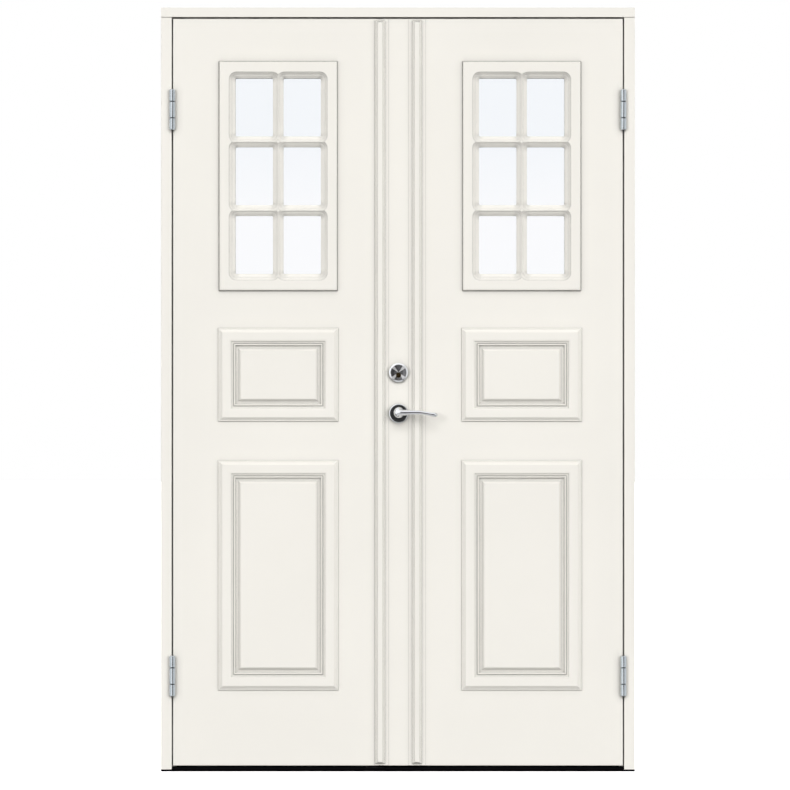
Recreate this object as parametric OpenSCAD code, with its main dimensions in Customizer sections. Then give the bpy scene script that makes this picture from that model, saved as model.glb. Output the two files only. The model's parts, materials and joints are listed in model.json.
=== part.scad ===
// Pair of panelled entrance doors in a rebated timber frame, opening outwards.
// Millimetres. The outside faces -Y, the inside +Y, and +Z is up.
// The origin is the centre of the sill's bottom face.

/* [Frame] */
// Overall width of the frame
frame_w = 1290; // [1240:1:1600]
// Overall height of the frame
frame_h = 2080; // [2060:1:2600]
// Depth of the frame from its outside to its inside face
frame_d = 105; // [100:1:160]
// Thickness of a jamb at its stop
jamb_t = 42; // [38:0.5:60]
// Thickness of the head at its stop
head_t = 39; // [35:0.5:60]
// Step from the stop down to the rebate that holds a leaf
rebate = 13; // [11:0.5:18]
// Height of the base strip under the frame
base_h = 5.5; // [5:0.5:12]
// Height of the threshold above the base strip, below the leaves
sill_h = 6; // [5.5:0.5:15]
// Gap between a leaf's hinge edge and its jamb
side_gap = 4; // [4:0.5:5]
// Gap between the leaves and the head
top_gap = 5; // [3:0.5:8]
// Gap between the leaves and the threshold
bottom_gap = 4.5; // [3:0.5:8]
// Gap between the leaves' inside face and the stop
stop_gap = 3; // [2.5:0.5:5]

/* [Leaves] */
// Thickness of a leaf without its mouldings
leaf_t = 62; // [58:1:75]
// Thickness of a skin
skin_t = 6; // [4:0.5:9]
// Where the leaves meet, from the middle of the frame
seam_x = -50; // [-60:1:-40]
// Gap between the leaves
seam_gap = 3; // [2.5:0.5:4]
// Depth of the right leaf's outer meeting edge
meet_depth = 40; // [36:1:44]
// Reach of the left leaf's tongue behind the right leaf
tongue = 15.5; // [14:0.5:18]
// Room between the tongue's end and the right leaf
tongue_room = 10; // [9:0.5:14]
// Clearance in front of the tongue
tongue_gap = 2; // [2:0.5:3]
// Slope of the meeting edges, in degrees
meet_bevel = 2; // [1.5:0.5:3]
// Width of the hinge stile
hinge_stile_w = 100; // [80:1:110]
// Width of the lock stile
lock_stile_w = 130; // [125:1:135]
// Height of the bottom rail
bottom_rail_h = 110; // [80:1:160]

/* [Windows] */
// Width of a window moulding
win_w = 324; // [300:1:340]
// Height of a window moulding
win_h = 626; // [600:1:660]
// Height of a window moulding's lower edge above the frame's bottom
win_z = 1308; // [1270:1:1320]
// Width of one light's daylight opening
light_w = 102; // [85:1:110]
// Height of one light's daylight opening
light_h = 158; // [140:1:165]
// Width of the upright bar between lights
bar_w = 28.5; // [26:0.5:32]
// Height of a crossbar between lights
bar_h = 29.2; // [27:0.2:33]
// How far a window moulding stands out of the leaf
win_raise = 10; // [8:0.5:14]
// Lap of a window moulding over the leaf's face
win_lap = 27; // [22:1:30]
// Thickness of one glass pane
pane_t = 4; // [3:0.5:5]
// Space between two panes
pane_gap = 12; // [10:1:13]

/* [Panels] */
// Width of a moulded panel
panel_w = 329; // [300:1:350]
// Height of the lower panel
low_panel_h = 627; // [550:1:700]
// Height of the lower panel's lower edge above the frame's bottom
low_panel_z = 220.5; // [180:0.5:250]
// Height of the upper panel
mid_panel_h = 256; // [200:1:300]
// Height of the upper panel's lower edge above the frame's bottom
mid_panel_z = 952; // [935:1:970]
// Height of a panel's mouldings above the leaf
panel_raise = 10; // [8:0.5:14]
// Panel centre from the right leaf's hinge edge
right_panel_in = 275; // [265:1:290]
// Panel centre from the left leaf's hinge edge
left_panel_in = 286; // [276:1:300]
// Centre of the bead beside the lock, from the middle of the frame
bead_x = 52; // [50:1:60]
// Height of the beads above the leaf
bead_raise = 11; // [9:0.5:14]

/* [Hinges] */
// Height of a hinge
hinge_h = 110; // [90:1:130]
// Diameter of a hinge barrel
barrel_d = 17; // [14:0.5:17]
// Diameter of a hinge pin
pin_d = 9; // [7:0.5:10]
// Height of the lower hinges' centre
low_hinge_z = 260; // [200:1:320]
// Height of the upper hinges' centre
high_hinge_z = 1802; // [1700:1:1900]
// Hinge axis in front of the leaves' outside face
hinge_out = 9; // [9:0.5:12]
// Thickness of a hinge plate
plate_t = 3; // [2.5:0.5:4]
// Depth of a hinge plate along the leaf's edge
plate_d = 35; // [30:1:40]

/* [Lock and handle] */
// Hardware axis from the right leaf's meeting edge
backset = 50; // [48:1:55]
// Height of the handle's axis
handle_z = 975; // [960:1:990]
// Height of the cylinder's escutcheon
ring_z = 1086; // [1080:1:1100]
// Key plug's axis below the middle of its escutcheon
plug_drop = 7; // [5:0.5:8]
// Diameter of the lever roses
rose_d = 53; // [48:1:55]
// Thickness of the lever roses
rose_t = 8; // [6:0.5:12]
// Diameter of the cylinder escutcheon
ring_d = 52; // [48:1:55]
// Thickness of the cylinder escutcheon
ring_t = 12; // [10:0.5:15]
// Diameter of the key plug
plug_d = 13; // [12:0.5:15]
// Diameter of a lever's neck
neck_d = 17; // [14:0.5:20]
// Reach of a lever's grip from the leaf's face
lever_out = 50; // [42:1:60]
// Reach of a lever's tip from its axis
lever_l = 107; // [95:1:135]
// Side of the square spindle
spindle_a = 8; // [7:0.5:9]
// Length of the lock's face plate
face_l = 225; // [220:1:240]
// Travel of the latch
latch_travel = 14; // [8:0.5:14]
// Travel of the dead bolt
bolt_travel = 22; // [16:0.5:22]
// Diameter of the flush bolts
flush_d = 10; // [8:0.5:11]
// Length of a flush bolt
flush_l = 170; // [140:1:200]
// Travel of the upper flush bolt
flush_up_travel = 20; // [14:0.5:20]
// Travel of the lower flush bolt
flush_down_travel = 12; // [8:0.5:12]

/* [Hidden] */
$fn = 64;
// small clearances
run = 0.05;
fit = 0.2;
slack = 0.5;

// frame
y_out = -frame_d / 2;
y_in = y_out + leaf_t;
y_stop = y_in + stop_gap;
y_back = frame_d / 2;
face_t = jamb_t - rebate;
head_face_t = head_t - rebate;
jamb_face_x = frame_w / 2 - face_t;
jamb_stop_x = frame_w / 2 - jamb_t;
head_face_z = frame_h - head_face_t;
head_stop_z = frame_h - head_t;
sill_z = base_h + sill_h;
leaf_edge = jamb_face_x - side_gap;
leaf_z = sill_z + bottom_gap;
leaf_top = head_face_z - top_gap;
sill_stop_z = leaf_z + 9;

// meeting edges
right_meet_x = seam_x + seam_gap / 2;
left_meet_x = seam_x - seam_gap / 2;
y_meet = y_out + meet_depth;
y_tongue = y_meet + tongue_gap;
tongue_x = left_meet_x + tongue;
pocket_x = tongue_x + tongue_room;
meet_slope = tan(meet_bevel);
lock_y = y_out + meet_depth / 2;

// windows
glass_w = win_w - 2 * win_lap;
glass_h = win_h - 2 * win_lap;
unit_t = 3 * pane_t + 2 * pane_gap;
glass_y = y_out + 5.5;
unit_gap = 3;
seal_t = 2;
seal_w = 9;
spacer_w = 10;

// panel moulding: distance in from the edge, height as a share of panel_raise
moulding = [[0, 0.22], [3, 0.22], [4, 0.38], [11, 0.92], [13, 1], [34, 1], [36, 0.86],
    [38, 0.8], [40, 0.56], [43, 0.44], [44, 0.4], [46, 0.56], [48, 0.52], [50, 0.2], [61, 0.86]];
moulding_w = 61;
field_raise = panel_raise * 0.86;

// half section of a bead: distance from the middle, height as a share of bead_raise
bead_half = [[22, 0], [22, 0.16], [15.5, 0.24], [13, 0.5], [9.5, 0.58], [8, 0.9], [6, 1]];
bead_low_half = [[15, 0], [15, 0.24], [13, 0.5], [9.5, 0.58], [8, 0.9], [6, 1]];
bead_end = 9;
bead_short = 1;

// seals
gasket_w = 7;
gasket_rest = 0.2;
fin_w = 3.6;
fin_l = 5;
gasket_x = (jamb_stop_x + leaf_edge) / 2;
gasket_top_z = (head_stop_z + leaf_top) / 2;
gasket_low_z = (leaf_z + sill_stop_z) / 2;

// hinges
hinge_x = leaf_edge + side_gap / 2;
hinge_y = y_out - hinge_out;
knuckle_gap = 0.8;
mid_knuckle_h = 0.4 * hinge_h;
hinge_zs = [low_hinge_z, high_hinge_z];

// lock
hw_x = right_meet_x + backset;
plug_z = ring_z - plug_drop;
lock_face_x = right_meet_x + 1.1;
lock_face_t = 3;
lock_face_w = 22;
lock_mid_z = (handle_z + ring_z) / 2 + 5;
case_x0 = lock_face_x + lock_face_t;
case_x1 = hw_x + 30;
case_t = 17;
case_wall = 1.5;
case_z0 = handle_z - 38;
case_z1 = ring_z + 52;
follower_d = 19;
latch_h = 16;
latch_t = 12;
bolt_h = 24;
bolt_z = plug_z + 30;
shaft_d = 8;
cyl_d = 28;
spindle_hole_d = 24;
turn_rose_t = 8;
turn_out = 28;

// strike and flush bolts, in the left leaf's meeting edge
strike_x = left_meet_x - 1.1;
strike_t = 3;
strike_w = 25;
pocket_l = 26;
flush_x = left_meet_x - 11;
flush_case_w = 14;
flush_case_l = flush_l + 12;
flush_tip = 1;
tab_h = 12;
tab_w = 6;
keeper_t = 3;
keeper_w = 30;
keeper_l = 50;
keeper_hole_d = flush_d + 2;
sill_keeper_t = 2;

// fixing screws through the jambs
sleeve_d = 17.8;
sleeve_bore_d = 9.2;
sleeve_recess = 4;
sleeve_fin_gap = 1;
screw_y = max((y_stop + y_back) / 2, y_stop + fin_l + sleeve_fin_gap + sleeve_d / 2);
end_screw_in = 200;
mid_screw_in = 760;
screw_zs = [end_screw_in, mid_screw_in, frame_h - mid_screw_in, frame_h - end_screw_in];

timber = "#f3eee8";
steel = "#b9bcc0";
rubber = "#2b2b2b";
brass = "#c9a45a";

// A box between two values along each axis.
module span(x, y, z) {
    translate([x[0], y[0], z[0]])
        cube([x[1] - x[0], y[1] - y[0], z[1] - z[0]]);
}

// A round bar along Y through (x, z).
module bar_y(d, x, z, y) {
    translate([x, y[0], z])
        rotate([-90, 0, 0])
            cylinder(d = d, h = y[1] - y[0]);
}

// A round bar along Z through (x, y).
module bar_z(d, x, y, z) {
    translate([x, y, z[0]])
        cylinder(d = d, h = z[1] - z[0]);
}

// A flat drawing in X and Z, drawn out along Y from y[0] to y[1].
module draw_y(y) {
    translate([0, y[1], 0])
        rotate([90, 0, 0])
            linear_extrude(y[1] - y[0])
                children();
}

// ---------------------------------------------------------------- frame

module jamb(side) {
    color(timber)
        difference() {
            scale_x(side)
                union() {
                    span([jamb_face_x, frame_w / 2], [y_out, y_stop], [base_h, head_face_z]);
                    span([jamb_stop_x, frame_w / 2], [y_stop, y_back], [base_h, head_stop_z]);
                }
            scale_x(side)
                gasket_grooves();
            scale_x(side)
                for (z = hinge_zs)
                    span([jamb_face_x - 1, jamb_face_x + plate_t + fit],
                        [y_out - 1, y_out + plate_d + fit],
                        [z - hinge_h / 2 - fit, z + hinge_h / 2 + fit]);
            scale_x(side)
                for (z = screw_zs)
                    screw_hole(z);
        }
}

// The right-hand shape, or its mirror image on the left.
module scale_x(side) {
    if (side > 0) {
        children();
    } else {
        mirror([1, 0, 0])
            children();
    }
}

module screw_hole(z) {
    translate([jamb_stop_x - 1, screw_y, z])
        rotate([0, 90, 0])
            cylinder(d = sleeve_d + fit, h = jamb_t + 2);
}

// Upright grooves for the frame seal's fins.
module gasket_grooves() {
    span([gasket_x - fin_w / 2 - run, gasket_x + fin_w / 2 + run],
        [y_stop - 1, y_stop + fin_l + fit], [0, head_stop_z + 1]);
}

module frame_head() {
    color(timber)
        difference() {
            union() {
                span([-frame_w / 2, frame_w / 2], [y_out, y_stop], [head_face_z, frame_h]);
                span([-frame_w / 2, frame_w / 2], [y_stop, y_back], [head_stop_z, frame_h]);
            }
            span([-gasket_x - fin_w / 2 - run, gasket_x + fin_w / 2 + run],
                [y_stop - 1, y_stop + fin_l + fit],
                [gasket_top_z - fin_w / 2 - run, gasket_top_z + fin_w / 2 + run]);
            for (side = [-1, 1])
                scale_x(side)
                    span([gasket_x - fin_w / 2 - run, gasket_x + fin_w / 2 + run],
                        [y_stop - 1, y_stop + fin_l + fit], [head_stop_z - 1, gasket_top_z]);
            keeper_recess(head_face_z - 1, head_face_z + keeper_t + run);
            bar_z(keeper_hole_d + 1, flush_x, lock_y, [head_face_z - 1, head_face_z + 22]);
        }
}

module keeper_recess(z0, z1) {
    span([flush_x - keeper_l / 2 - fit, flush_x + keeper_l / 2 + fit],
        [lock_y - keeper_w / 2 - fit, lock_y + keeper_w / 2 + fit], [z0, z1]);
}

// A bolt keeper: a plate with one round hole for a flush bolt.
module keeper(z0, z1) {
    color(steel)
        difference() {
            span([flush_x - keeper_l / 2, flush_x + keeper_l / 2],
                [lock_y - keeper_w / 2, lock_y + keeper_w / 2], [z0, z1]);
            bar_z(keeper_hole_d, flush_x, lock_y, [z0 - 1, z1 + 1]);
        }
}

module threshold() {
    color("#26262a")
        difference() {
            union() {
                span([-jamb_face_x, jamb_face_x], [y_out, y_stop], [base_h, sill_z]);
                span([-jamb_stop_x, jamb_stop_x], [y_stop, y_back], [base_h, sill_stop_z]);
            }
            span([-jamb_stop_x - 1, jamb_stop_x + 1], [y_stop - 1, y_stop + fin_l + fit],
                [gasket_low_z - fin_w / 2 - run, gasket_low_z + fin_w / 2 + run]);
            keeper_recess(sill_z - sill_keeper_t - run, sill_z + 1);
            bar_z(keeper_hole_d + 1, flush_x, lock_y, [base_h - 1, sill_z + 1]);
        }
}

module threshold_base_strip() {
    color("#1b1b1d")
        difference() {
            span([-frame_w / 2, frame_w / 2], [y_out, y_back], [0, base_h]);
            bar_z(keeper_hole_d + 1, flush_x, lock_y, [base_h / 2, base_h + 1]);
        }
}

// One gasket round the head and both jambs: a soft face on a fin in its groove.
module frame_seal() {
    face_y = [y_in + gasket_rest, y_stop];
    fin_y = [y_in + gasket_rest, y_stop + fin_l];
    color(rubber)
        union() {
            gasket_run(gasket_w, face_y);
            gasket_run(fin_w, fin_y);
        }
}

module gasket_run(w, y) {
    for (side = [-1, 1])
        scale_x(side)
            span([gasket_x - w / 2, gasket_x + w / 2], y, [sill_stop_z, gasket_top_z + w / 2]);
    span([-gasket_x - w / 2, gasket_x + w / 2], y, [gasket_top_z - w / 2, gasket_top_z + w / 2]);
}

module threshold_seal() {
    half = jamb_stop_x - 1;
    color(rubber)
        union() {
            span([-half, half], [y_in + gasket_rest, y_stop],
                [gasket_low_z - gasket_w / 2, gasket_low_z + gasket_w / 2]);
            span([-half, half], [y_in + gasket_rest, y_stop + fin_l],
                [gasket_low_z - fin_w / 2, gasket_low_z + fin_w / 2]);
        }
}

module frame_fixing_sleeves() {
    color(steel)
        for (side = [-1, 1], z = screw_zs)
            scale_x(side)
                translate([jamb_stop_x + sleeve_recess, screw_y, z])
                    rotate([0, 90, 0])
                        difference() {
                            cylinder(d = sleeve_d, h = jamb_t - sleeve_recess);
                            translate([0, 0, -1])
                                cylinder(d = sleeve_bore_d, h = jamb_t - sleeve_recess + 2);
                        }
}

// ---------------------------------------------------------------- hinges

// Frame half of the hinges: the two end knuckles and a plate let into the jamb.
module hinge_frame_plates(side) {
    mid = mid_knuckle_h / 2 + knuckle_gap;
    color(steel)
        for (z = hinge_zs)
            scale_x(side)
                difference() {
                    union() {
                        span([jamb_face_x, jamb_face_x + plate_t], [y_out, y_out + plate_d],
                            [z - hinge_h / 2, z + hinge_h / 2]);
                        for (ends = [[z - hinge_h / 2, z - mid], [z + mid, z + hinge_h / 2]])
                            knuckle(jamb_face_x, ends);
                    }
                    bar_z(pin_d + 2 * run, hinge_x, hinge_y, [z - hinge_h, z + hinge_h]);
                }
}

// Leaf half of the hinges: the middle knuckle and a plate let into the leaf's edge.
module hinge_leaf_plates(side) {
    mid = mid_knuckle_h / 2;
    color(steel)
        for (z = hinge_zs)
            scale_x(side)
                difference() {
                    union() {
                        span([leaf_edge - plate_t, leaf_edge], [y_out, y_out + plate_d],
                            [z - hinge_h / 2, z + hinge_h / 2]);
                        knuckle(leaf_edge - plate_t, [z - mid, z + mid]);
                    }
                    bar_z(pin_d + 2 * run, hinge_x, hinge_y, [z - hinge_h, z + hinge_h]);
                }
}

// A barrel and the strap that carries it from its plate, which starts at x.
module knuckle(x, z) {
    bar_z(barrel_d, hinge_x, hinge_y, z);
    span([x, x + plate_t], [hinge_y, y_out + 1], z);
}

module hinge_pins() {
    color(steel)
        for (side = [-1, 1], z = hinge_zs)
            bar_z(pin_d, side * hinge_x, hinge_y, [z - hinge_h / 2 + 1, z + hinge_h / 2 - 1]);
}

module hinge_recess(side) {
    scale_x(side)
        for (z = hinge_zs)
            span([leaf_edge - plate_t - fit, leaf_edge + 1], [y_out - 1, y_out + plate_d + fit],
                [z - hinge_h / 2 - fit, z + hinge_h / 2 + fit]);
}

// ---------------------------------------------------------------- leaves

// The leaf's section from above: hinge edge square, meeting edge rebated and bevelled.
module leaf_plan(side) {
    right = [[leaf_edge, y_out], [leaf_edge, y_in], [pocket_x, y_in], [pocket_x, y_meet],
        [right_meet_x + meet_slope * meet_depth, y_meet], [right_meet_x, y_out]];
    left = [[-leaf_edge, y_out], [left_meet_x, y_out],
        [left_meet_x - meet_slope * (y_tongue - y_out), y_tongue], [tongue_x, y_tongue],
        [tongue_x, y_in], [-leaf_edge, y_in]];
    polygon(side > 0 ? right : left);
}

// One layer of a leaf, over its full height.
module leaf_layer(side, y) {
    translate([0, 0, leaf_z])
        linear_extrude(leaf_top - leaf_z)
            intersection() {
                leaf_plan(side);
                translate([-frame_w, y[0]])
                    square([2 * frame_w, y[1] - y[0]]);
            }
}

function panel_x(side) = side > 0 ? leaf_edge - right_panel_in : left_panel_in - leaf_edge;

// A hole for the glass, right through the leaf.
module window_cut(side) {
    translate([panel_x(side) - glass_w / 2, y_out - 1, win_z + win_lap])
        cube([glass_w, leaf_t + 2, glass_h]);
}

function core_x(side) = side > 0
    ? [right_meet_x + lock_stile_w, leaf_edge - hinge_stile_w]
    : [hinge_stile_w - leaf_edge, left_meet_x - lock_stile_w];

core_z = [leaf_z + bottom_rail_h, win_z - 60];

module leaf_frame(side) {
    x = core_x(side);
    color("#d8c4a0")
        difference() {
            leaf_layer(side, [y_out + skin_t, y_in - skin_t]);
            window_cut(side);
            span(x, [y_out, y_in], core_z);
            hinge_recess(side);
            if (side > 0) {
                lock_pockets();
            } else {
                strike_pockets();
                flush_pockets();
                meeting_groove();
            }
        }
}

module leaf_core(side) {
    x = core_x(side);
    color("#e9e6da")
        span([x[0] + fit, x[1] - fit], [y_out + skin_t, y_in - skin_t],
            [core_z[0] + fit, core_z[1] - fit]);
}

module outer_skin(side) {
    color(timber)
        difference() {
            leaf_layer(side, [y_out, y_out + skin_t]);
            window_cut(side);
            hinge_recess(side);
            if (side > 0) {
                bar_y(spindle_hole_d, hw_x, handle_z, [y_out - 1, y_out + skin_t + 1]);
                bar_y(cyl_d + 1, hw_x, plug_z, [y_out - 1, y_out + skin_t + 1]);
            }
        }
}

module inner_skin(side) {
    color(timber)
        difference() {
            leaf_layer(side, [y_in - skin_t, y_in]);
            window_cut(side);
            if (side > 0) {
                bar_y(spindle_hole_d, hw_x, handle_z, [y_in - skin_t - 1, y_in + 1]);
                bar_y(shaft_d + 4, hw_x, plug_z, [y_in - skin_t - 1, y_in + 1]);
            }
        }
}

// ---------------------------------------------------------------- windows

// Middle of a light: column 0 or 1, row 0 to 2.
function light_at(side, column, row) = [
    panel_x(side) + (column - 0.5) * (light_w + bar_w),
    win_z + win_h / 2 + (row - 1) * (light_h + bar_h)];

// A rectangle with round corners, centred.
module round_rect(w, h, r) {
    union() {
        square([w - 2 * r, h], center = true);
        square([w, h - 2 * r], center = true);
        for (sx = [-1, 1], sz = [-1, 1])
            translate([sx * (w / 2 - r), sz * (h / 2 - r)])
                circle(r = r, $fn = 32);
    }
}

// The flared opening of one light, from y_far at the glass to y_near at the face.
module light_cut(y_far, y_near, flare) {
    toward = y_near > y_far ? 1 : -1;
    thin = 0.1;
    past = 1;
    translate([0, (y_far + y_near) / 2, 0])
        rotate([90, 0, 0])
            linear_extrude(abs(y_near - y_far) + 2 * past, center = true)
                round_rect(light_w, light_h, 3);
    hull() {
        translate([0, y_far + toward * 3, 0])
            rotate([90, 0, 0])
                linear_extrude(thin, center = true)
                    round_rect(light_w + 4, light_h + 4, 5);
        translate([0, y_near + toward, 0])
            rotate([90, 0, 0])
                linear_extrude(thin, center = true)
                    round_rect(light_w + 2 * flare, light_h + 2 * flare, 18);
    }
}

// The moulding round the glass and its bars, with a collar that holds the glass.
// face is the leaf's face, out the way the moulding stands, glass the seal's face.
module window_grid(side, face, out, glass) {
    flange = out > 0 ? [face, face + win_raise] : [face - win_raise, face];
    collar = out > 0 ? [glass, face + 1] : [face - 1, glass];
    x = panel_x(side);
    bevel = 8;
    color(timber)
        difference() {
            union() {
                window_flange(x, flange, out, bevel);
                span([x - glass_w / 2 + slack, x + glass_w / 2 - slack], collar,
                    [win_z + win_lap + slack, win_z + win_h - win_lap - slack]);
            }
            for (column = [0, 1], row = [0, 1, 2]) {
                at = light_at(side, column, row);
                translate([at[0], 0, at[1]])
                    light_cut(glass, out > 0 ? flange[1] : flange[0], 18);
            }
        }
}

// A plate whose outer edges slope off on its proud side.
module window_flange(x, y, out, bevel) {
    low = 0.22 * win_raise;
    proud = out > 0 ? y[1] : y[0];
    back = out > 0 ? y[0] : y[1];
    lip = back + out * low;
    intersection() {
        translate([0, 0, win_z])
            linear_extrude(win_h)
                polygon([[x - win_w / 2, back], [x - win_w / 2, lip],
                    [x - win_w / 2 + bevel, proud], [x + win_w / 2 - bevel, proud],
                    [x + win_w / 2, lip], [x + win_w / 2, back]]);
        translate([x - win_w / 2, 0, 0])
            rotate([90, 0, 90])
                linear_extrude(win_w)
                    polygon([[back, win_z], [lip, win_z], [proud, win_z + bevel],
                        [proud, win_z + win_h - bevel], [lip, win_z + win_h],
                        [back, win_z + win_h]]);
    }
}

module window_outer_grid(side) {
    window_grid(side, y_out, -1, glass_y - seal_t);
}

module window_inner_grid(side) {
    window_grid(side, y_in, 1, glass_y + unit_t + seal_t);
}

// A rectangular ring in X and Z round the window's middle.
module window_ring(side, w, h, band, y) {
    x = panel_x(side);
    z = win_z + win_h / 2;
    difference() {
        span([x - w / 2, x + w / 2], y, [z - h / 2, z + h / 2]);
        span([x - w / 2 + band, x + w / 2 - band], [y[0] - 1, y[1] + 1],
            [z - h / 2 + band, z + h / 2 - band]);
    }
}

module glass_panes(side) {
    x = panel_x(side);
    z = win_z + win_h / 2;
    w = glass_w - 2 * unit_gap;
    h = glass_h - 2 * unit_gap;
    color([0.8, 0.88, 0.95, 0.4])
        for (i = [0, 1, 2])
            translate([x - w / 2, glass_y + i * (pane_t + pane_gap), z - h / 2])
                cube([w, pane_t, h]);
}

module glass_spacers(side) {
    inset = unit_gap + 2;
    color(steel)
        for (i = [0, 1]) {
            y = glass_y + pane_t + i * (pane_t + pane_gap);
            window_ring(side, glass_w - 2 * inset, glass_h - 2 * inset, spacer_w,
                [y, y + pane_gap]);
        }
}

module glazing_seals(side) {
    inset = unit_gap + 1;
    color(rubber)
        for (y = [glass_y - seal_t, glass_y + unit_t])
            window_ring(side, glass_w - 2 * inset, glass_h - 2 * inset, seal_w, [y, y + seal_t]);
}

// ---------------------------------------------------------------- panels and beads

// One mitred side of a panel's moulding, lying along X from 0 to l, growing along Z.
module moulding_side(l) {
    section = concat([[0, 0]], [for (p = moulding) [p[0], p[1] * panel_raise]],
        [[moulding_w, 0]]);
    intersection() {
        rotate([90, 0, 90])
            linear_extrude(l)
                polygon([for (p = section) [-p[1], p[0]]]);
        draw_y([-panel_raise - 1, 0])
            polygon([[0, 0], [l, 0], [l - moulding_w, moulding_w], [moulding_w, moulding_w]]);
    }
}

// A panel planted on the leaf's outside face: mitred mouldings round a raised field.
module moulded_panel(side, z, h) {
    w = panel_w;
    color(timber)
        translate([panel_x(side), y_out, z + h / 2])
            union() {
                for (turn = [0, 180]) {
                    rotate([0, turn, 0])
                        translate([-w / 2, 0, -h / 2])
                            moulding_side(w);
                    rotate([0, turn + 90, 0])
                        translate([-h / 2, 0, -w / 2])
                            moulding_side(h);
                }
                span([moulding_w - w / 2, w / 2 - moulding_w], [-field_raise, 0],
                    [moulding_w - h / 2, h / 2 - moulding_w]);
            }
}

// An upright bead with sloped ends: one half section on each side of its middle.
module bead(x, low_half, high_half) {
    left = [for (p = low_half) [x - p[0], y_out - p[1] * bead_raise]];
    right = [for (i = [len(high_half) - 1:-1:0])
        [x + high_half[i][0], y_out - high_half[i][1] * bead_raise]];
    z0 = leaf_z + bead_short;
    z1 = leaf_top - bead_short;
    y1 = y_out - bead_raise;
    intersection() {
        translate([0, 0, z0])
            linear_extrude(z1 - z0)
                polygon(concat(left, right));
        translate([x - 50, 0, 0])
            rotate([90, 0, 90])
                linear_extrude(100)
                    polygon([[y_out, z0], [y_out, z1], [y1, z1 - bead_end], [y1, z0 + bead_end]]);
    }
}

module astragal() {
    color(timber)
        difference() {
            bead(right_meet_x, bead_low_half, bead_half);
            span([right_meet_x - 50, right_meet_x], [y_out - slack, y_out + 1],
                [leaf_z - 1, leaf_top + 1]);
        }
}

module lock_stile_bead() {
    color(timber)
        bead(bead_x, bead_half, bead_half);
}

// ---------------------------------------------------------------- lock

module lock_pockets() {
    span([lock_face_x - 3, case_x0 + run], [lock_y - lock_face_w / 2 - fit,
        lock_y + lock_face_w / 2 + fit],
        [lock_mid_z - face_l / 2 - fit, lock_mid_z + face_l / 2 + fit]);
    span([case_x0 - 1, case_x1 + fit], [lock_y - case_t / 2 - fit, lock_y + case_t / 2 + fit],
        [case_z0 - fit, case_z1 + fit]);
    bar_y(spindle_hole_d, hw_x, handle_z, [y_out, y_in]);
    bar_y(cyl_d + 1, hw_x, plug_z, [y_out, lock_y]);
    bar_y(shaft_d + 4, hw_x, plug_z, [lock_y, y_in]);
}

module lock_case() {
    inside_y = [lock_y - case_t / 2 + case_wall, lock_y + case_t / 2 - case_wall];
    inside_z = [case_z0 + case_wall, case_z1 - case_wall];
    color(steel)
        difference() {
            span([case_x0, case_x1], [lock_y - case_t / 2, lock_y + case_t / 2],
                [case_z0, case_z1]);
            span([case_x0 - 1, case_x1 - case_wall], inside_y, inside_z);
            bar_y(follower_d + 2 * run, hw_x, handle_z, [y_out, y_in]);
            bar_y(shaft_d + 4, hw_x, plug_z, [y_out, y_in]);
        }
}

// The latch's and the dead bolt's windows in the face plate, or pockets in the strike.
module bolt_windows(x, gap) {
    span(x, [lock_y - latch_t / 2 - gap, lock_y + latch_t / 2 + gap],
        [handle_z - latch_h / 2 - gap, handle_z + latch_h / 2 + gap]);
    span(x, [lock_y - latch_t / 2 - gap, lock_y + latch_t / 2 + gap],
        [bolt_z - bolt_h / 2 - gap, bolt_z + bolt_h / 2 + gap]);
}

module lock_faceplate() {
    color(steel)
        difference() {
            span([lock_face_x, case_x0], [lock_y - lock_face_w / 2, lock_y + lock_face_w / 2],
                [lock_mid_z - face_l / 2, lock_mid_z + face_l / 2]);
            bolt_windows([lock_face_x - 1, case_x0 + 1], fit);
        }
}

module latch_bolt() {
    nose = 10;
    x0 = lock_face_x;
    x1 = hw_x - follower_d / 2 - 4;
    y0 = lock_y - latch_t / 2;
    y1 = lock_y + latch_t / 2;
    color(steel)
        translate([0, 0, handle_z - latch_h / 2])
            linear_extrude(latch_h)
                polygon([[x0, y0], [x0, y0 + 4], [x0 + nose, y1], [x1, y1], [x1, y0]]);
}

module dead_bolt() {
    color(steel)
        span([lock_face_x, hw_x - 10], [lock_y - latch_t / 2, lock_y + latch_t / 2],
            [bolt_z - bolt_h / 2, bolt_z + bolt_h / 2]);
}

module lock_follower() {
    a = spindle_a + fit;
    color(steel)
        difference() {
            bar_y(follower_d, hw_x, handle_z, [lock_y - case_t / 2, lock_y + case_t / 2]);
            span([hw_x - a / 2, hw_x + a / 2], [y_out, y_in],
                [handle_z - a / 2, handle_z + a / 2]);
        }
}

module spindle() {
    a = spindle_a;
    inset = 12;
    color(steel)
        span([hw_x - a / 2, hw_x + a / 2], [y_out - lever_out + inset, y_in + lever_out - inset],
            [handle_z - a / 2, handle_z + a / 2]);
}

// A round rose on a face, with a bore and a turned edge. It grows along out.
module rose(d, t, bore, z, face, out) {
    edge = 2;
    translate([hw_x, face, z])
        rotate([out > 0 ? -90 : 90, 0, 0])
            rotate_extrude()
                polygon([[bore / 2, 0], [d / 2, 0], [d / 2, t - edge], [d / 2 - edge, t],
                    [bore / 2, t]]);
}

module outer_rosette() {
    color(steel)
        rose(rose_d, rose_t, neck_d + 2 * run, handle_z, y_out, -1);
}

module inner_rosette() {
    color(steel)
        rose(rose_d, rose_t, neck_d + 2 * run, handle_z, y_in, 1);
}

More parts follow.
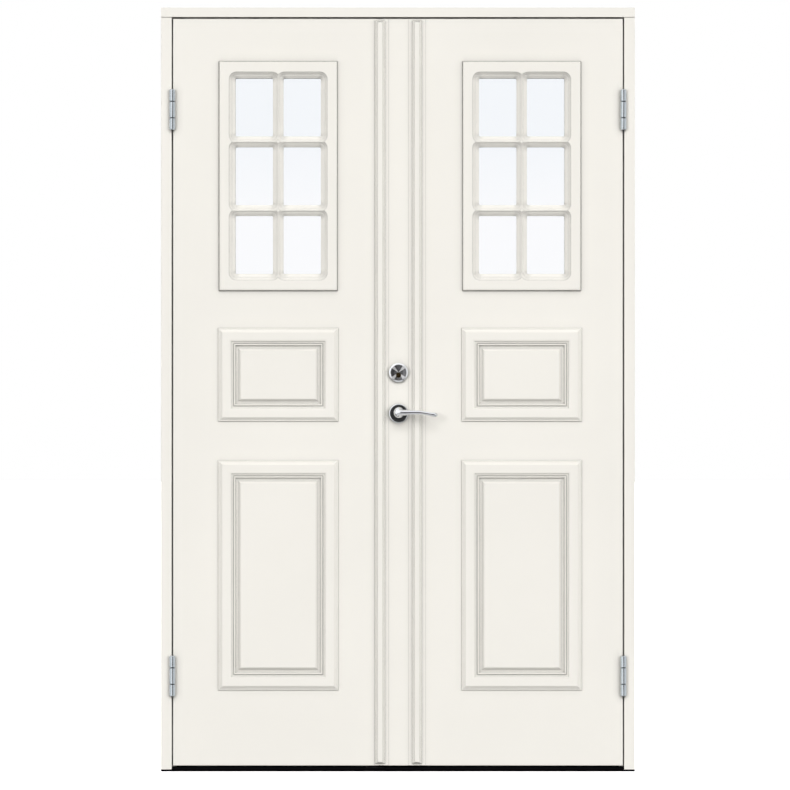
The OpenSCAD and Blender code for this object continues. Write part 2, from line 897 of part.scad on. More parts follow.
// The neck on the spindle and a grip that bends to +X and droops a little at its tip.
module lever(face, out) {
    a = spindle_a + fit;
    grip = face + out * lever_out;
    stops = [[0, 0, 8], [0.16, 1.3, 7], [0.5, 2.7, 6], [0.8, -1, 5], [1, -3.6, 5.6]];
    function stop_x(p) = p[0] * (lever_l - 6);
    color(steel)
        difference() {
            union() {
                bar_y(neck_d, hw_x, handle_z, out > 0 ? [face + 1, grip] : [grip, face - 1]);
                for (i = [0:len(stops) - 2])
                    hull()
                        for (p = [stops[i], stops[i + 1]])
                            translate([hw_x + stop_x(p), grip, handle_z + p[1]])
                                sphere(r = p[2], $fn = 24);
            }
            span([hw_x - a / 2, hw_x + a / 2],
                out > 0 ? [face, grip - 8] : [grip + 8, face],
                [handle_z - a / 2, handle_z + a / 2]);
        }
}

module outer_lever() {
    lever(y_out, -1);
}

module inner_lever() {
    lever(y_in, 1);
}

// The escutcheon round the key plug: a turned ring with a dished face.
module cylinder_ring() {
    dish_d = ring_d - 8;
    floor_t = 5;
    color(steel)
        difference() {
            translate([hw_x, y_out, ring_z])
                rotate([90, 0, 0])
                    rotate_extrude()
                        polygon([[0, 0], [ring_d / 2, 0], [ring_d / 2, ring_t - 2],
                            [ring_d / 2 - 2, ring_t], [dish_d / 2, ring_t], [plug_d, floor_t],
                            [0, floor_t]]);
            bar_y(plug_d + 1, hw_x, plug_z, [y_out - ring_t - 1, y_out + 1]);
        }
}

module cylinder_body() {
    color(brass)
        difference() {
            bar_y(cyl_d, hw_x, plug_z, [y_out, lock_y - case_t / 2]);
            bar_y(plug_d + 2 * run, hw_x, plug_z, [y_out - 1, y_in]);
        }
}

// The plug: a round bar with a key slot, and a thin tail into the lock.
module key_plug() {
    front = y_out - 6.5;
    color(brass)
        difference() {
            union() {
                bar_y(plug_d, hw_x, plug_z, [front, lock_y - case_t / 2 - 0.5]);
                bar_y(6, hw_x, plug_z, [lock_y - case_t / 2 - 1, lock_y - 1]);
            }
            span([hw_x - 0.8, hw_x + 0.8], [front - 1, front + 10], [plug_z - 4.5, plug_z + 4.5]);
        }
}

module thumbturn_rosette() {
    color(steel)
        rose(ring_d, turn_rose_t, shaft_d + 2 * run, plug_z, y_in, 1);
}

// The thumbturn: a shaft to the lock, a round boss and a flat wing to grip.
module thumbturn() {
    boss = y_in + turn_rose_t + 0.5;
    color(steel)
        union() {
            bar_y(shaft_d, hw_x, plug_z, [lock_y + 1, boss + 1]);
            bar_y(22, hw_x, plug_z, [boss, boss + 6]);
            intersection() {
                bar_y(34, hw_x, plug_z, [boss + 5, y_in + turn_out]);
                span([hw_x - 4, hw_x + 4], [boss + 5, y_in + turn_out],
                    [plug_z - 20, plug_z + 20]);
            }
        }
}

// ---------------------------------------------------------------- left leaf's edge

module strike_pockets() {
    span([strike_x - strike_t - run, strike_x + 3], [lock_y - strike_w / 2 - fit,
        lock_y + strike_w / 2 + fit],
        [lock_mid_z - face_l / 2 - fit, lock_mid_z + face_l / 2 + fit]);
    bolt_windows([strike_x - pocket_l, strike_x], 1.5);
}

module strike_plate() {
    color(steel)
        difference() {
            span([strike_x - strike_t, strike_x], [lock_y - strike_w / 2, lock_y + strike_w / 2],
                [lock_mid_z - face_l / 2, lock_mid_z + face_l / 2]);
            bolt_windows([strike_x - strike_t - 1, strike_x + 1], 1);
        }
}

// A flush bolt points up or down: its tip, and the way to its tail.
function flush_tip_z(up) = up > 0 ? leaf_top - flush_tip : leaf_z + flush_tip;
function flush_case_z(up) = up > 0
    ? [leaf_top - flush_case_l, leaf_top]
    : [leaf_z, leaf_z + flush_case_l];
function flush_travel(up) = up > 0 ? flush_up_travel : flush_down_travel;
function tab_z(up) = flush_tip_z(up) - up * (flush_l - 30);

module flush_pockets() {
    w = flush_case_w / 2 + fit;
    for (up = [-1, 1]) {
        z = flush_case_z(up);
        span([flush_x - flush_case_w / 2 - fit, strike_x + 3], [lock_y - w, lock_y + w],
            [z[0] - (up < 0 ? 1 : fit), z[1] + (up > 0 ? 1 : fit)]);
    }
}

module flush_bolt_cases() {
    color(steel)
        for (up = [-1, 1]) {
            z = flush_case_z(up);
            travel = flush_travel(up);
            tab = tab_z(up);
            slot = up > 0 ? [tab - 1, tab + tab_h + travel + 1] : [tab - tab_h - travel - 1, tab + 1];
            difference() {
                span([flush_x - flush_case_w / 2, strike_x],
                    [lock_y - flush_case_w / 2, lock_y + flush_case_w / 2], z);
                bar_z(flush_d + 2 * run, flush_x, lock_y,
                    up > 0 ? [z[0] + 3, z[1] + 1] : [z[0] - 1, z[1] - 3]);
                span([flush_x, strike_x + 1], [lock_y - tab_w / 2 - fit, lock_y + tab_w / 2 + fit],
                    slot);
            }
        }
}

// A round bolt with a tab for the finger, which stays inside the case's slot.
module flush_bolt(up) {
    tip = flush_tip_z(up);
    tail = tip - up * flush_l;
    tab = tab_z(up);
    color(steel)
        union() {
            bar_z(flush_d, flush_x, lock_y, up > 0 ? [tail, tip] : [tip, tail]);
            span([flush_x, strike_x - 1], [lock_y - tab_w / 2, lock_y + tab_w / 2],
                up > 0 ? [tab, tab + tab_h] : [tab - tab_h, tab]);
        }
}

meeting_seal_x = (right_meet_x + meet_slope * meet_depth + tongue_x) / 2;

module meeting_groove() {
    span([meeting_seal_x - 1.5 - run, meeting_seal_x + 1.5 + run],
        [y_tongue - 1, y_tongue + 4 + fit], [leaf_z - 1, leaf_top + 1]);
}

module meeting_seal() {
    front = y_meet + gasket_rest;
    color(rubber)
        union() {
            span([meeting_seal_x - 3.5, meeting_seal_x + 3.5], [front, y_tongue],
                [leaf_z, leaf_top]);
            span([meeting_seal_x - 1.5, meeting_seal_x + 1.5], [front, y_tongue + 4],
                [leaf_z, leaf_top]);
        }
}

// ---------------------------------------------------------------- nodes

frame_head();
jamb(-1);  // frame_jamb_left
jamb(1);  // frame_jamb_right
threshold();
threshold_base_strip();
frame_seal();
threshold_seal();
keeper(head_face_z, head_face_z + keeper_t);  // head_bolt_keeper
keeper(sill_z - sill_keeper_t, sill_z);  // threshold_bolt_keeper
frame_fixing_sleeves();
hinge_frame_plates(-1);  // left_hinge_frame_plates
hinge_frame_plates(1);  // right_hinge_frame_plates
hinge_pins();
leaf_frame(-1);  // left_leaf_frame
leaf_core(-1);  // left_leaf_core
outer_skin(-1);  // left_outer_skin
inner_skin(-1);  // left_inner_skin
window_outer_grid(-1);  // left_window_outer_grid
window_inner_grid(-1);  // left_window_inner_grid
glass_panes(-1);  // left_glass_panes
glass_spacers(-1);  // left_glass_spacers
glazing_seals(-1);  // left_glazing_seals
moulded_panel(-1, mid_panel_z, mid_panel_h);  // left_upper_panel
moulded_panel(-1, low_panel_z, low_panel_h);  // left_lower_panel
hinge_leaf_plates(-1);  // left_hinge_leaf_plates
strike_plate();
flush_bolt_cases();
meeting_seal();
flush_bolt(1);  // upper_flush_bolt
flush_bolt(-1);  // lower_flush_bolt
leaf_frame(1);  // right_leaf_frame
leaf_core(1);  // right_leaf_core
outer_skin(1);  // right_outer_skin
inner_skin(1);  // right_inner_skin
window_outer_grid(1);  // right_window_outer_grid
window_inner_grid(1);  // right_window_inner_grid
glass_panes(1);  // right_glass_panes
glass_spacers(1);  // right_glass_spacers
glazing_seals(1);  // right_glazing_seals
moulded_panel(1, mid_panel_z, mid_panel_h);  // right_upper_panel
moulded_panel(1, low_panel_z, low_panel_h);  // right_lower_panel
hinge_leaf_plates(1);  // right_hinge_leaf_plates
astragal();
lock_stile_bead();
lock_case();
lock_faceplate();
outer_rosette();
inner_rosette();
cylinder_ring();
cylinder_body();
thumbturn_rosette();
outer_lever();
inner_lever();
spindle();
lock_follower();
latch_bolt();
dead_bolt();
key_plug();
thumbturn();
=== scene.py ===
"""A pair of panelled entrance doors in their frame: the look of every piece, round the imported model."""

import json
import logging
import math
from collections.abc import Callable, Iterator
from contextlib import contextmanager
from dataclasses import dataclass
from enum import Enum

import bmesh
import bpy
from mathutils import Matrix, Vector

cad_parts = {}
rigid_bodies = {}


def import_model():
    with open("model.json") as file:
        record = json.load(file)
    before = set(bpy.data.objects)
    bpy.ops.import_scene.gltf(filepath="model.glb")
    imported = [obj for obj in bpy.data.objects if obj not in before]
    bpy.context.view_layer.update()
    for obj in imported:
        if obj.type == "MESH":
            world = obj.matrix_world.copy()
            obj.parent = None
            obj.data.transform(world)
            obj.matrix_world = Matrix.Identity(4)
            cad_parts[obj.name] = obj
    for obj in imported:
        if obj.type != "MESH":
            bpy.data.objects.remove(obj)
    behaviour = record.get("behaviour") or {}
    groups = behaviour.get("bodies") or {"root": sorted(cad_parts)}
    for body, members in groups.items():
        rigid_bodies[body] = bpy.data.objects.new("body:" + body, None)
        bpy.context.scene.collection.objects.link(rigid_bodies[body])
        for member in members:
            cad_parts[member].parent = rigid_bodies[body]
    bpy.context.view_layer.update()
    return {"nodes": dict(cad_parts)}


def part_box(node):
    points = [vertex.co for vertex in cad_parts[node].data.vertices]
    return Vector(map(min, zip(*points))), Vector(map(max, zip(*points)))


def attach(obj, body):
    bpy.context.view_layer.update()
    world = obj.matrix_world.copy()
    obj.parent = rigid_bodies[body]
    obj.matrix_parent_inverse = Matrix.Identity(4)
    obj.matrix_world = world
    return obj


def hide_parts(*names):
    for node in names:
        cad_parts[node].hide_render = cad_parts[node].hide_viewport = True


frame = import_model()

LOG = logging.getLogger("doors")
MM = 0.001
DOUBLED = 0.002 * MM
CLOSE = 0.1 * MM
STEEP = 0.9
Point = tuple[float, float]
Place = tuple[float, float, float]
Test = Callable[[Vector, Vector], bool]


class Named(Enum):
    """A choice whose word stands in the nodes' names."""

    @property
    def label(self) -> str:
        """Its word in the nodes' names."""
        return self.name.lower()


class Side(Named):
    """A leaf's side, seen from outside, and its sign in X."""

    LEFT = -1
    RIGHT = 1


class Face(Named):
    """A face of the doors, and its sign in Y."""

    OUTER = -1
    INNER = 1


class Row(Named):
    """A row of panels."""

    UPPER = "under the window"
    LOWER = "above the threshold"


class Half(Named):
    """Half a hinge, and the sign in X of the way that its plate looks from the pin, on the right side."""

    FRAME = 1
    LEAF = -1


# ---------------------------------------------------------------- hand tools


def deselect() -> None:
    """Leaves object mode with nothing selected."""
    active = bpy.context.view_layer.objects.active
    if active is not None and active.mode != "OBJECT":
        bpy.ops.object.mode_set(mode="OBJECT")
    bpy.ops.object.select_all(action="DESELECT")


def activate(piece: bpy.types.Object) -> None:
    """Makes a piece the only one selected, and active.

    Args:
        piece: The piece.
    """
    deselect()
    piece.select_set(True)
    bpy.context.view_layer.objects.active = piece


@contextmanager
def editing(piece: bpy.types.Object, mode: str = "FACE") -> Iterator[bpy.types.Object]:
    """Opens a piece in edit mode with nothing picked.

    Args:
        piece: The piece to work on.
        mode: What is picked: VERT, EDGE or FACE.

    Returns:
        The same piece, while it is in edit mode.
    """
    activate(piece)
    bpy.ops.object.mode_set(mode="EDIT")
    bpy.ops.mesh.select_mode(type=mode)
    bpy.ops.mesh.select_all(action="DESELECT")
    yield piece
    bpy.ops.object.mode_set(mode="OBJECT")


def pick_faces(piece: bpy.types.Object, test: Test) -> None:
    """Picks the faces that pass a test, in edit mode.

    Args:
        piece: The piece in edit mode.
        test: Takes a face's middle and its normal.
    """
    mesh = bmesh.from_edit_mesh(piece.data)
    picked = [f for f in mesh.faces if test(f.calc_center_median(), f.normal)]
    for face in mesh.faces:
        face.select_set(False)
    for face in picked:
        face.select_set(True)
    bmesh.update_edit_mesh(piece.data)


def pick_edges(piece: bpy.types.Object, test: Test) -> None:
    """Picks the edges whose two ends pass a test, in edit mode.

    Args:
        piece: The piece in edit mode.
        test: Takes an edge's two ends.
    """
    mesh = bmesh.from_edit_mesh(piece.data)
    picked = [e for e in mesh.edges if test(e.verts[0].co, e.verts[1].co)]
    for edge in mesh.edges:
        edge.select_set(False)
    for edge in picked:
        edge.select_set(True)
    bmesh.update_edit_mesh(piece.data)


def settle(piece: bpy.types.Object) -> bpy.types.Object:
    """Moves a piece's place into its mesh, so that its object sits at the origin.

    Args:
        piece: The piece.

    Returns:
        The same piece.
    """
    activate(piece)
    bpy.ops.object.transform_apply(location=True, rotation=True, scale=True)
    return piece


def new_block(name: str, low: Place, high: Place) -> bpy.types.Object:
    """Adds a block between two corners, with its place in its mesh.

    Args:
        name: The new piece's name.
        low: Its lowest corner, in metres.
        high: Its highest corner, in metres.

    Returns:
        The block.
    """
    deselect()
    middle = [(a + b) / 2 for a, b in zip(low, high)]
    bpy.ops.mesh.primitive_cube_add(size=1, location=middle)
    piece = bpy.context.object
    piece.name = name
    piece.scale = [abs(b - a) for a, b in zip(low, high)]
    return settle(piece)


def new_round(
    name: str, axis: str, radius: float, start: Place, length: float, sides: int = 96
) -> bpy.types.Object:
    """Adds a round bar that grows from a point along an axis.

    Args:
        name: The new piece's name.
        axis: X, Y or Z.
        radius: Its radius, in metres.
        start: The middle of its first end.
        length: How far it grows, and which way by its sign.
        sides: How many flats make it round.

    Returns:
        The bar, with its place in its mesh.
    """
    deselect()
    turn = {"X": (0, math.pi / 2, 0), "Y": (-math.pi / 2, 0, 0), "Z": (0, 0, 0)}[axis]
    middle = Vector(start)
    middle["XYZ".index(axis)] += length / 2
    bpy.ops.mesh.primitive_cylinder_add(
        vertices=sides, radius=radius, depth=abs(length), location=middle, rotation=turn
    )
    bpy.context.object.name = name
    return settle(bpy.context.object)


def step_in(steps: list[Point]) -> None:
    """Insets the picked face along a profile, so that its corners are mitred.

    Args:
        steps: The profile's points: distance in from the edge, and height, in metres.
    """
    least = 0.01 * MM
    for before, after in zip(steps, steps[1:]):
        bpy.ops.mesh.inset(
            thickness=max(after[0] - before[0], least), depth=after[1] - before[1], use_even_offset=True
        )


def apply_modifier(piece: bpy.types.Object, kind: str, **settings: object) -> None:
    """Adds a modifier to a piece and applies it.

    Args:
        piece: The piece to change.
        kind: The modifier's type.
        settings: The modifier's settings, by name.
    """
    activate(piece)
    modifier = piece.modifiers.new(kind.lower(), kind)
    for name, value in settings.items():
        setattr(modifier, name, value)
    bpy.ops.object.modifier_apply(modifier=modifier.name)


def combine(piece: bpy.types.Object, other: bpy.types.Object, operation: str) -> None:
    """Joins another solid to a piece or cuts it away, and removes the other.

    Args:
        piece: The piece that stays.
        other: The solid that is used up.
        operation: UNION or DIFFERENCE.
    """
    apply_modifier(piece, "BOOLEAN", operation=operation, object=other, solver="EXACT")
    bpy.data.objects.remove(other, do_unlink=True)


def smooth(piece: bpy.types.Object, degrees: float = 30) -> None:
    """Shades a piece smooth, with its wide flats left flat and its sharp edges sharp.

    Args:
        piece: The piece.
        degrees: The angle over which an edge is sharp.
    """
    flat_weight = 90
    activate(piece)
    bpy.ops.object.shade_smooth_by_angle(angle=math.radians(degrees))
    apply_modifier(piece, "WEIGHTED_NORMAL", mode="FACE_AREA", weight=flat_weight, keep_sharp=True)


def tidy_mesh(piece: bpy.types.Object) -> None:
    """Merges doubled points and turns every face outwards.

    Args:
        piece: The piece.
    """
    with editing(piece, "VERT"):
        bpy.ops.mesh.select_all(action="SELECT")
        bpy.ops.mesh.remove_doubles(threshold=DOUBLED)
        bpy.ops.mesh.normals_make_consistent(inside=False)


def duplicate(piece: bpy.types.Object, name: str, move: Place | Vector) -> bpy.types.Object:
    """Copies a piece with its own mesh.

    Args:
        piece: The piece to copy.
        name: The copy's name.
        move: How far the copy is moved.

    Returns:
        The copy, with its place in its mesh.
    """
    copy = bpy.data.objects.new(name, piece.data.copy())
    bpy.context.scene.collection.objects.link(copy)
    copy.location = move
    return settle(copy)


def copy_across(node: str, name: str) -> bpy.types.Object | None:
    """Copies what was made for the left leaf's node to the right leaf's.

    Args:
        node: The node that a piece is wanted for.
        name: The wanted piece's name.

    Returns:
        The copy, or None for the left leaf's own node.
    """
    left, right = Side.LEFT.label, Side.RIGHT.label
    if not node.startswith(right):
        return None
    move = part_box(node)[0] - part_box(node.replace(right, left, 1))[0]
    return duplicate(bpy.data.objects[name.replace(right, left, 1)], name, move)


def join(pieces: list[bpy.types.Object], name: str) -> bpy.types.Object:
    """Joins pieces into one object.

    Args:
        pieces: The pieces, of which the first takes in the rest.
        name: The joined piece's name.

    Returns:
        The joined piece.
    """
    activate(pieces[0])
    for piece in pieces[1:]:
        piece.select_set(True)
    bpy.ops.object.join()
    pieces[0].name = name
    return pieces[0]


def eased_copy(
    node: str, name: str, width: float, test: Test | None = None, round_shaded: bool = False
) -> bpy.types.Object:
    """Copies a node's mesh and rounds its edges a little, as paint and planing leave them.

    Args:
        node: The node to copy.
        name: The copy's name.
        width: The width of the rounding, in metres.
        test: Takes an edge's two ends, and says whether it is rounded. None rounds every edge.
        round_shaded: Whether the piece has turned surfaces, which are shaded smooth.

    Returns:
        The copy.
    """
    flat, sharp, rounds = math.radians(0.5), math.radians(50), 2
    piece = bpy.data.objects.new(name, frame["nodes"][node].data.copy())
    bpy.context.scene.collection.objects.link(piece)
    with editing(piece, "VERT"):
        bpy.ops.mesh.select_all(action="SELECT")
        bpy.ops.mesh.remove_doubles(threshold=DOUBLED)
        bpy.ops.mesh.dissolve_limited(angle_limit=flat)
    with editing(piece, "EDGE"):
        mesh = bmesh.from_edit_mesh(piece.data)
        picked = [
            edge
            for edge in mesh.edges
            if len(edge.link_faces) == 2 and edge.calc_face_angle() > sharp
            and (test is None or test(edge.verts[0].co, edge.verts[1].co))
        ]
        for edge in picked:
            edge.select_set(True)
        bmesh.update_edit_mesh(piece.data)
        bpy.ops.mesh.bevel(offset=width, segments=rounds, affect="EDGES", clamp_overlap=True)
    if round_shaded:
        smooth(piece, 40)
    return piece


def dress(
    piece: bpy.types.Object, body: str, material: bpy.types.Material,
    replaces: tuple[str, ...] = (),
) -> None:
    """Gives a finished piece its material and its place among the bodies, and reports it.

    Args:
        piece: The finished piece.
        body: The body that it rides on.
        material: Its material.
        replaces: The nodes that it stands for.
    """
    piece.data.materials.clear()
    piece.data.materials.append(material)
    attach(piece, body)
    if replaces:
        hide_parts(*replaces)
    LOG.info("%s: %d faces, on %s", piece.name, len(piece.data.polygons), body)


# ---------------------------------------------------------------- finishes


class Pattern(Enum):
    """How a finish varies over a surface."""

    CLOUD = "soft patches, as in sprayed paint or moulded plastic"
    GRAIN = "long fibres, as in planed softwood"
    BRUSHED = "fine upright lines, as on rolled or plated metal"
    # The turned pattern: its fine rings are a real bump; its tone is painted highlight, lighter spokes on a
    # dark dish.
    TURNED = "fine rings round an axis along Y, as on turned metal"
    SPECKLE = "small grains, as in board"


class Sheet:
    """The node tree of one material, with short ways to add and join nodes."""

    def __init__(self, name: str) -> None:
        """Starts a material with a surface shader and object coordinates.

        Args:
            name: The material's name.
        """
        self.material = bpy.data.materials.new(name)
        self.material.use_nodes = True
        self.tree = self.material.node_tree
        self.tree.nodes.clear()
        output = self.add("ShaderNodeOutputMaterial")
        self.shader = self.add("ShaderNodeBsdfPrincipled")
        self.join(self.shader, "BSDF", output, "Surface")
        self.place = self.add("ShaderNodeTexCoord")

    def add(self, kind: str, **values: object) -> bpy.types.Node:
        """Adds a node, and sets its properties or its inputs by name.

        Args:
            kind: The node's type.
            values: What to set, with an input's name in small letters.

        Returns:
            The node.
        """
        node = self.tree.nodes.new(kind)
        for name, value in values.items():
            if hasattr(node, name):
                setattr(node, name, value)
            else:
                node.inputs[name.replace("_", " ").title()].default_value = value
        return node

    def join(self, start: bpy.types.Node, out: str | int, end: bpy.types.Node, into: str | int) -> None:
        """Links one node's output to another's input."""
        self.tree.links.new(start.outputs[out], end.inputs[into])

    def mapped(self, scale: Place, move: Place = (0, 0, 0)) -> bpy.types.Node:
        """Object coordinates, moved and then scaled.

        Args:
            scale: How much finer the pattern is along each axis.
            move: How far the pattern's middle is moved, in metres.

        Returns:
            The mapping node.
        """
        moved = self.add("ShaderNodeVectorMath", operation="SUBTRACT")
        moved.inputs[1].default_value = move
        scaled = self.add("ShaderNodeVectorMath", operation="MULTIPLY")
        scaled.inputs[1].default_value = scale
        self.join(self.place, "Object", moved, 0)
        self.join(moved, 0, scaled, 0)
        return scaled

    def noise(
        self, at: bpy.types.Node, scale: float, detail: float = 3, rough: float = 0.55
    ) -> bpy.types.Node:
        """A noise texture.

        Args:
            at: The mapped coordinates.
            scale: How many patches there are to a metre.
            detail: How many finer layers it has.
            rough: How strong they are.

        Returns:
            The texture's node.
        """
        node = self.add("ShaderNodeTexNoise", scale=scale, detail=detail, roughness=rough)
        self.join(at, 0, node, "Vector")
        return node

    def rays(self, at: bpy.types.Node, count: int) -> bpy.types.Node:
        """Painted highlights: lighter spokes round an axis along Y, where a turned, dished face would catch
        reflections.

        Args:
            at: Coordinates centred on the axis.
            count: How many spokes there are.

        Returns:
            The node whose first output is high on a spoke.
        """
        split = self.add("ShaderNodeSeparateXYZ")
        self.join(at, 0, split, 0)
        angle = self.add("ShaderNodeMath", operation="ARCTAN2")
        self.join(split, "X", angle, 0)
        self.join(split, "Z", angle, 1)
        turns = self.add("ShaderNodeMath", operation="MULTIPLY")
        turns.inputs[1].default_value = count
        self.join(angle, 0, turns, 0)
        wave = self.add("ShaderNodeMath", operation="COSINE")
        self.join(turns, 0, wave, 0)
        ray = self.add("ShaderNodeMapRange")
        edge, crest = -0.35, -1.0
        ray.inputs["From Min"].default_value = edge
        ray.inputs["From Max"].default_value = crest
        self.join(wave, 0, ray, 0)
        return ray

    def blend(self, by: bpy.types.Node, out: str | int, low: Place, high: Place) -> bpy.types.Node:
        """Two colours blended by a node's output.

        Args:
            by: The node that says where each shows.
            out: Which of its outputs.
            low: The colour for low values.
            high: The colour for high values.

        Returns:
            The node whose first output is the colour.
        """
        ramp = self.add("ShaderNodeValToRGB")
        for stop, at, colour in zip(ramp.color_ramp.elements, (0.3, 0.7), (low, high)):
            stop.position = at
            stop.color = (*colour, 1)
        self.join(by, out, ramp, 0)
        return ramp

    def darker_corners(
        self, colour: bpy.types.Node, depth: float, reach: float, shut: float
    ) -> bpy.types.Node:
        """Painted shade: a colour darkened in tight corners, where an ambient-occlusion test finds little open
        sky.

        Args:
            colour: The node whose first output is the colour.
            depth: How much darker the tightest corner is.
            reach: How far from a corner it fades, in metres.
            shut: How open to the sky the tightest corner is, from 0 to 1.

        Returns:
            The node whose first output is the deepened colour.
        """
        # painted shade: the ambient-occlusion result darkens the base colour
        open_sky = self.add("ShaderNodeAmbientOcclusion", samples=6)
        open_sky.inputs["Distance"].default_value = reach
        shade = self.add("ShaderNodeMapRange")
        shade.inputs["From Min"].default_value = shut
        shade.inputs["From Max"].default_value = 1.0
        shade.inputs["To Min"].default_value = 1 - depth
        self.join(open_sky, "AO", shade, 0)
        product = self.add("ShaderNodeVectorMath", operation="MULTIPLY")
        self.join(colour, 0, product, 0)
        self.join(shade, 0, product, 1)
        return product

    def spread(self, by: bpy.types.Node, out: str | int, low: float, high: float) -> bpy.types.Node:
        """A number between two limits, by a node's output.

        Args:
            by: The node that says how far between them.
            out: Which of its outputs.
            low: The lower limit.
            high: The upper limit.

        Returns:
            The node whose first output is the number.
        """
        node = self.add("ShaderNodeMapRange")
        node.inputs["To Min"].default_value = low
        node.inputs["To Max"].default_value = high
        self.join(by, out, node, 0)
        return node


@dataclass(frozen=True)
class Finish:
    """One finish: its tone, its gloss, the pattern in both, and the shade painted into its corners."""

    name: str
    tone: Place
    pattern: Pattern = Pattern.CLOUD
    second: Place | None = None
    gloss: Point = (0.4, 0.5)
    metallic: float = 0.0
    relief: float = 0.02 * MM
    fineness: float = 900
    centre: Place = (0, 0, 0)
    # corners, reach and shut: painted shade, how much the colour is darkened in tight corners and how far that
    # reaches
    corners: float = 0.0
    reach: float = 10 * MM
    shine: float = 0.5
    shut: float = 0.5

    def _pattern(self, sheet: Sheet) -> tuple[bpy.types.Node, bpy.types.Node]:
        """The two patterns of a finish.

        Args:
            sheet: The material's node tree.

        Returns:
            The coarse pattern, for tone, and the fine one, for relief.
        """
        if self.pattern is Pattern.GRAIN:
            along = 0.06
            at = sheet.mapped((1, 1, along))
            return sheet.noise(at, 40, 4), sheet.noise(at, self.fineness)
        if self.pattern is Pattern.BRUSHED:
            along = 0.02
            at = sheet.mapped((1, 1, along))
            return sheet.noise(at, 260, 2), sheet.noise(at, self.fineness)
        if self.pattern is Pattern.TURNED:
            at = sheet.mapped((1, 0, 1), self.centre)
            rings = sheet.add("ShaderNodeTexWave", wave_type="RINGS", rings_direction="SPHERICAL")
            rings.inputs["Scale"].default_value = self.fineness
            rings.inputs["Distortion"].default_value = 0.6
            sheet.join(at, 0, rings, "Vector")
            # painted highlight: the tone follows lighter spokes round the axis; only the rings are real
            # turning marks
            highlight_spoke_count = 4
            return sheet.rays(at, highlight_spoke_count), rings
        at = sheet.mapped((1, 1, 1))
        coarse = 420 if self.pattern is Pattern.SPECKLE else 2.2
        return sheet.noise(at, coarse), sheet.noise(at, self.fineness)

    def make(self) -> bpy.types.Material:
        """Builds the material.

        Returns:
            The material, ready to be put on a piece.
        """
        sheet = Sheet(self.name)
        broad, fine = self._pattern(sheet)
        duller = 0.97
        second = self.second or tuple(duller * c for c in self.tone)
        colour = sheet.blend(broad, 0, second, self.tone)
        # painted shade: the colour is darkened in tight corners by an ambient-occlusion test
        if self.corners:
            colour = sheet.darker_corners(colour, self.corners, self.reach, self.shut)
        sheet.join(colour, 0, sheet.shader, "Base Color")
        sheet.shader.inputs["Specular IOR Level"].default_value = self.shine
        rough = sheet.spread(broad if self.pattern is Pattern.TURNED else fine, 0, *self.gloss)
        sheet.join(rough, 0, sheet.shader, "Roughness")
        bump = sheet.add("ShaderNodeBump", strength=0.6, distance=self.relief)
        sheet.join(fine, "Fac", bump, "Height")
        sheet.join(bump, 0, sheet.shader, "Normal")
        sheet.shader.inputs["Metallic"].default_value = self.metallic
        return sheet.material


@dataclass(frozen=True)
class Glass:
    """Clear float glass with a painted reflection: a faint cool sky tint that grows towards the top."""

    name: str = "clear_glass"
    # painted reflection: the tint at the top stands in for sky seen in the glass
    top: Place = (0.982, 0.988, 0.992)
    bottom: Place = (1.0, 1.0, 1.0)
    low: float = 1.34
    high: float = 1.90

    def make(self) -> bpy.types.Material:
        """Builds the material.

        Returns:
            The material, ready to be put on the panes.
        """
        sheet = Sheet(self.name)
        split = sheet.add("ShaderNodeSeparateXYZ")
        sheet.join(sheet.mapped((1, 1, 1)), 0, split, 0)
        height = sheet.spread(split, "Z", 0, 1)
        height.inputs["From Min"].default_value = self.low
        height.inputs["From Max"].default_value = self.high
        # painted reflection: the glass colour turns cooler with height
        colour = sheet.blend(height, 0, self.bottom, self.top)
        sheet.join(colour, "Color", sheet.shader, "Base Color")
        sheet.shader.inputs["Roughness"].default_value = 0.0
        sheet.shader.inputs["IOR"].default_value = 1.5
        sheet.shader.inputs["Transmission Weight"].default_value = 1.0
        return sheet.material


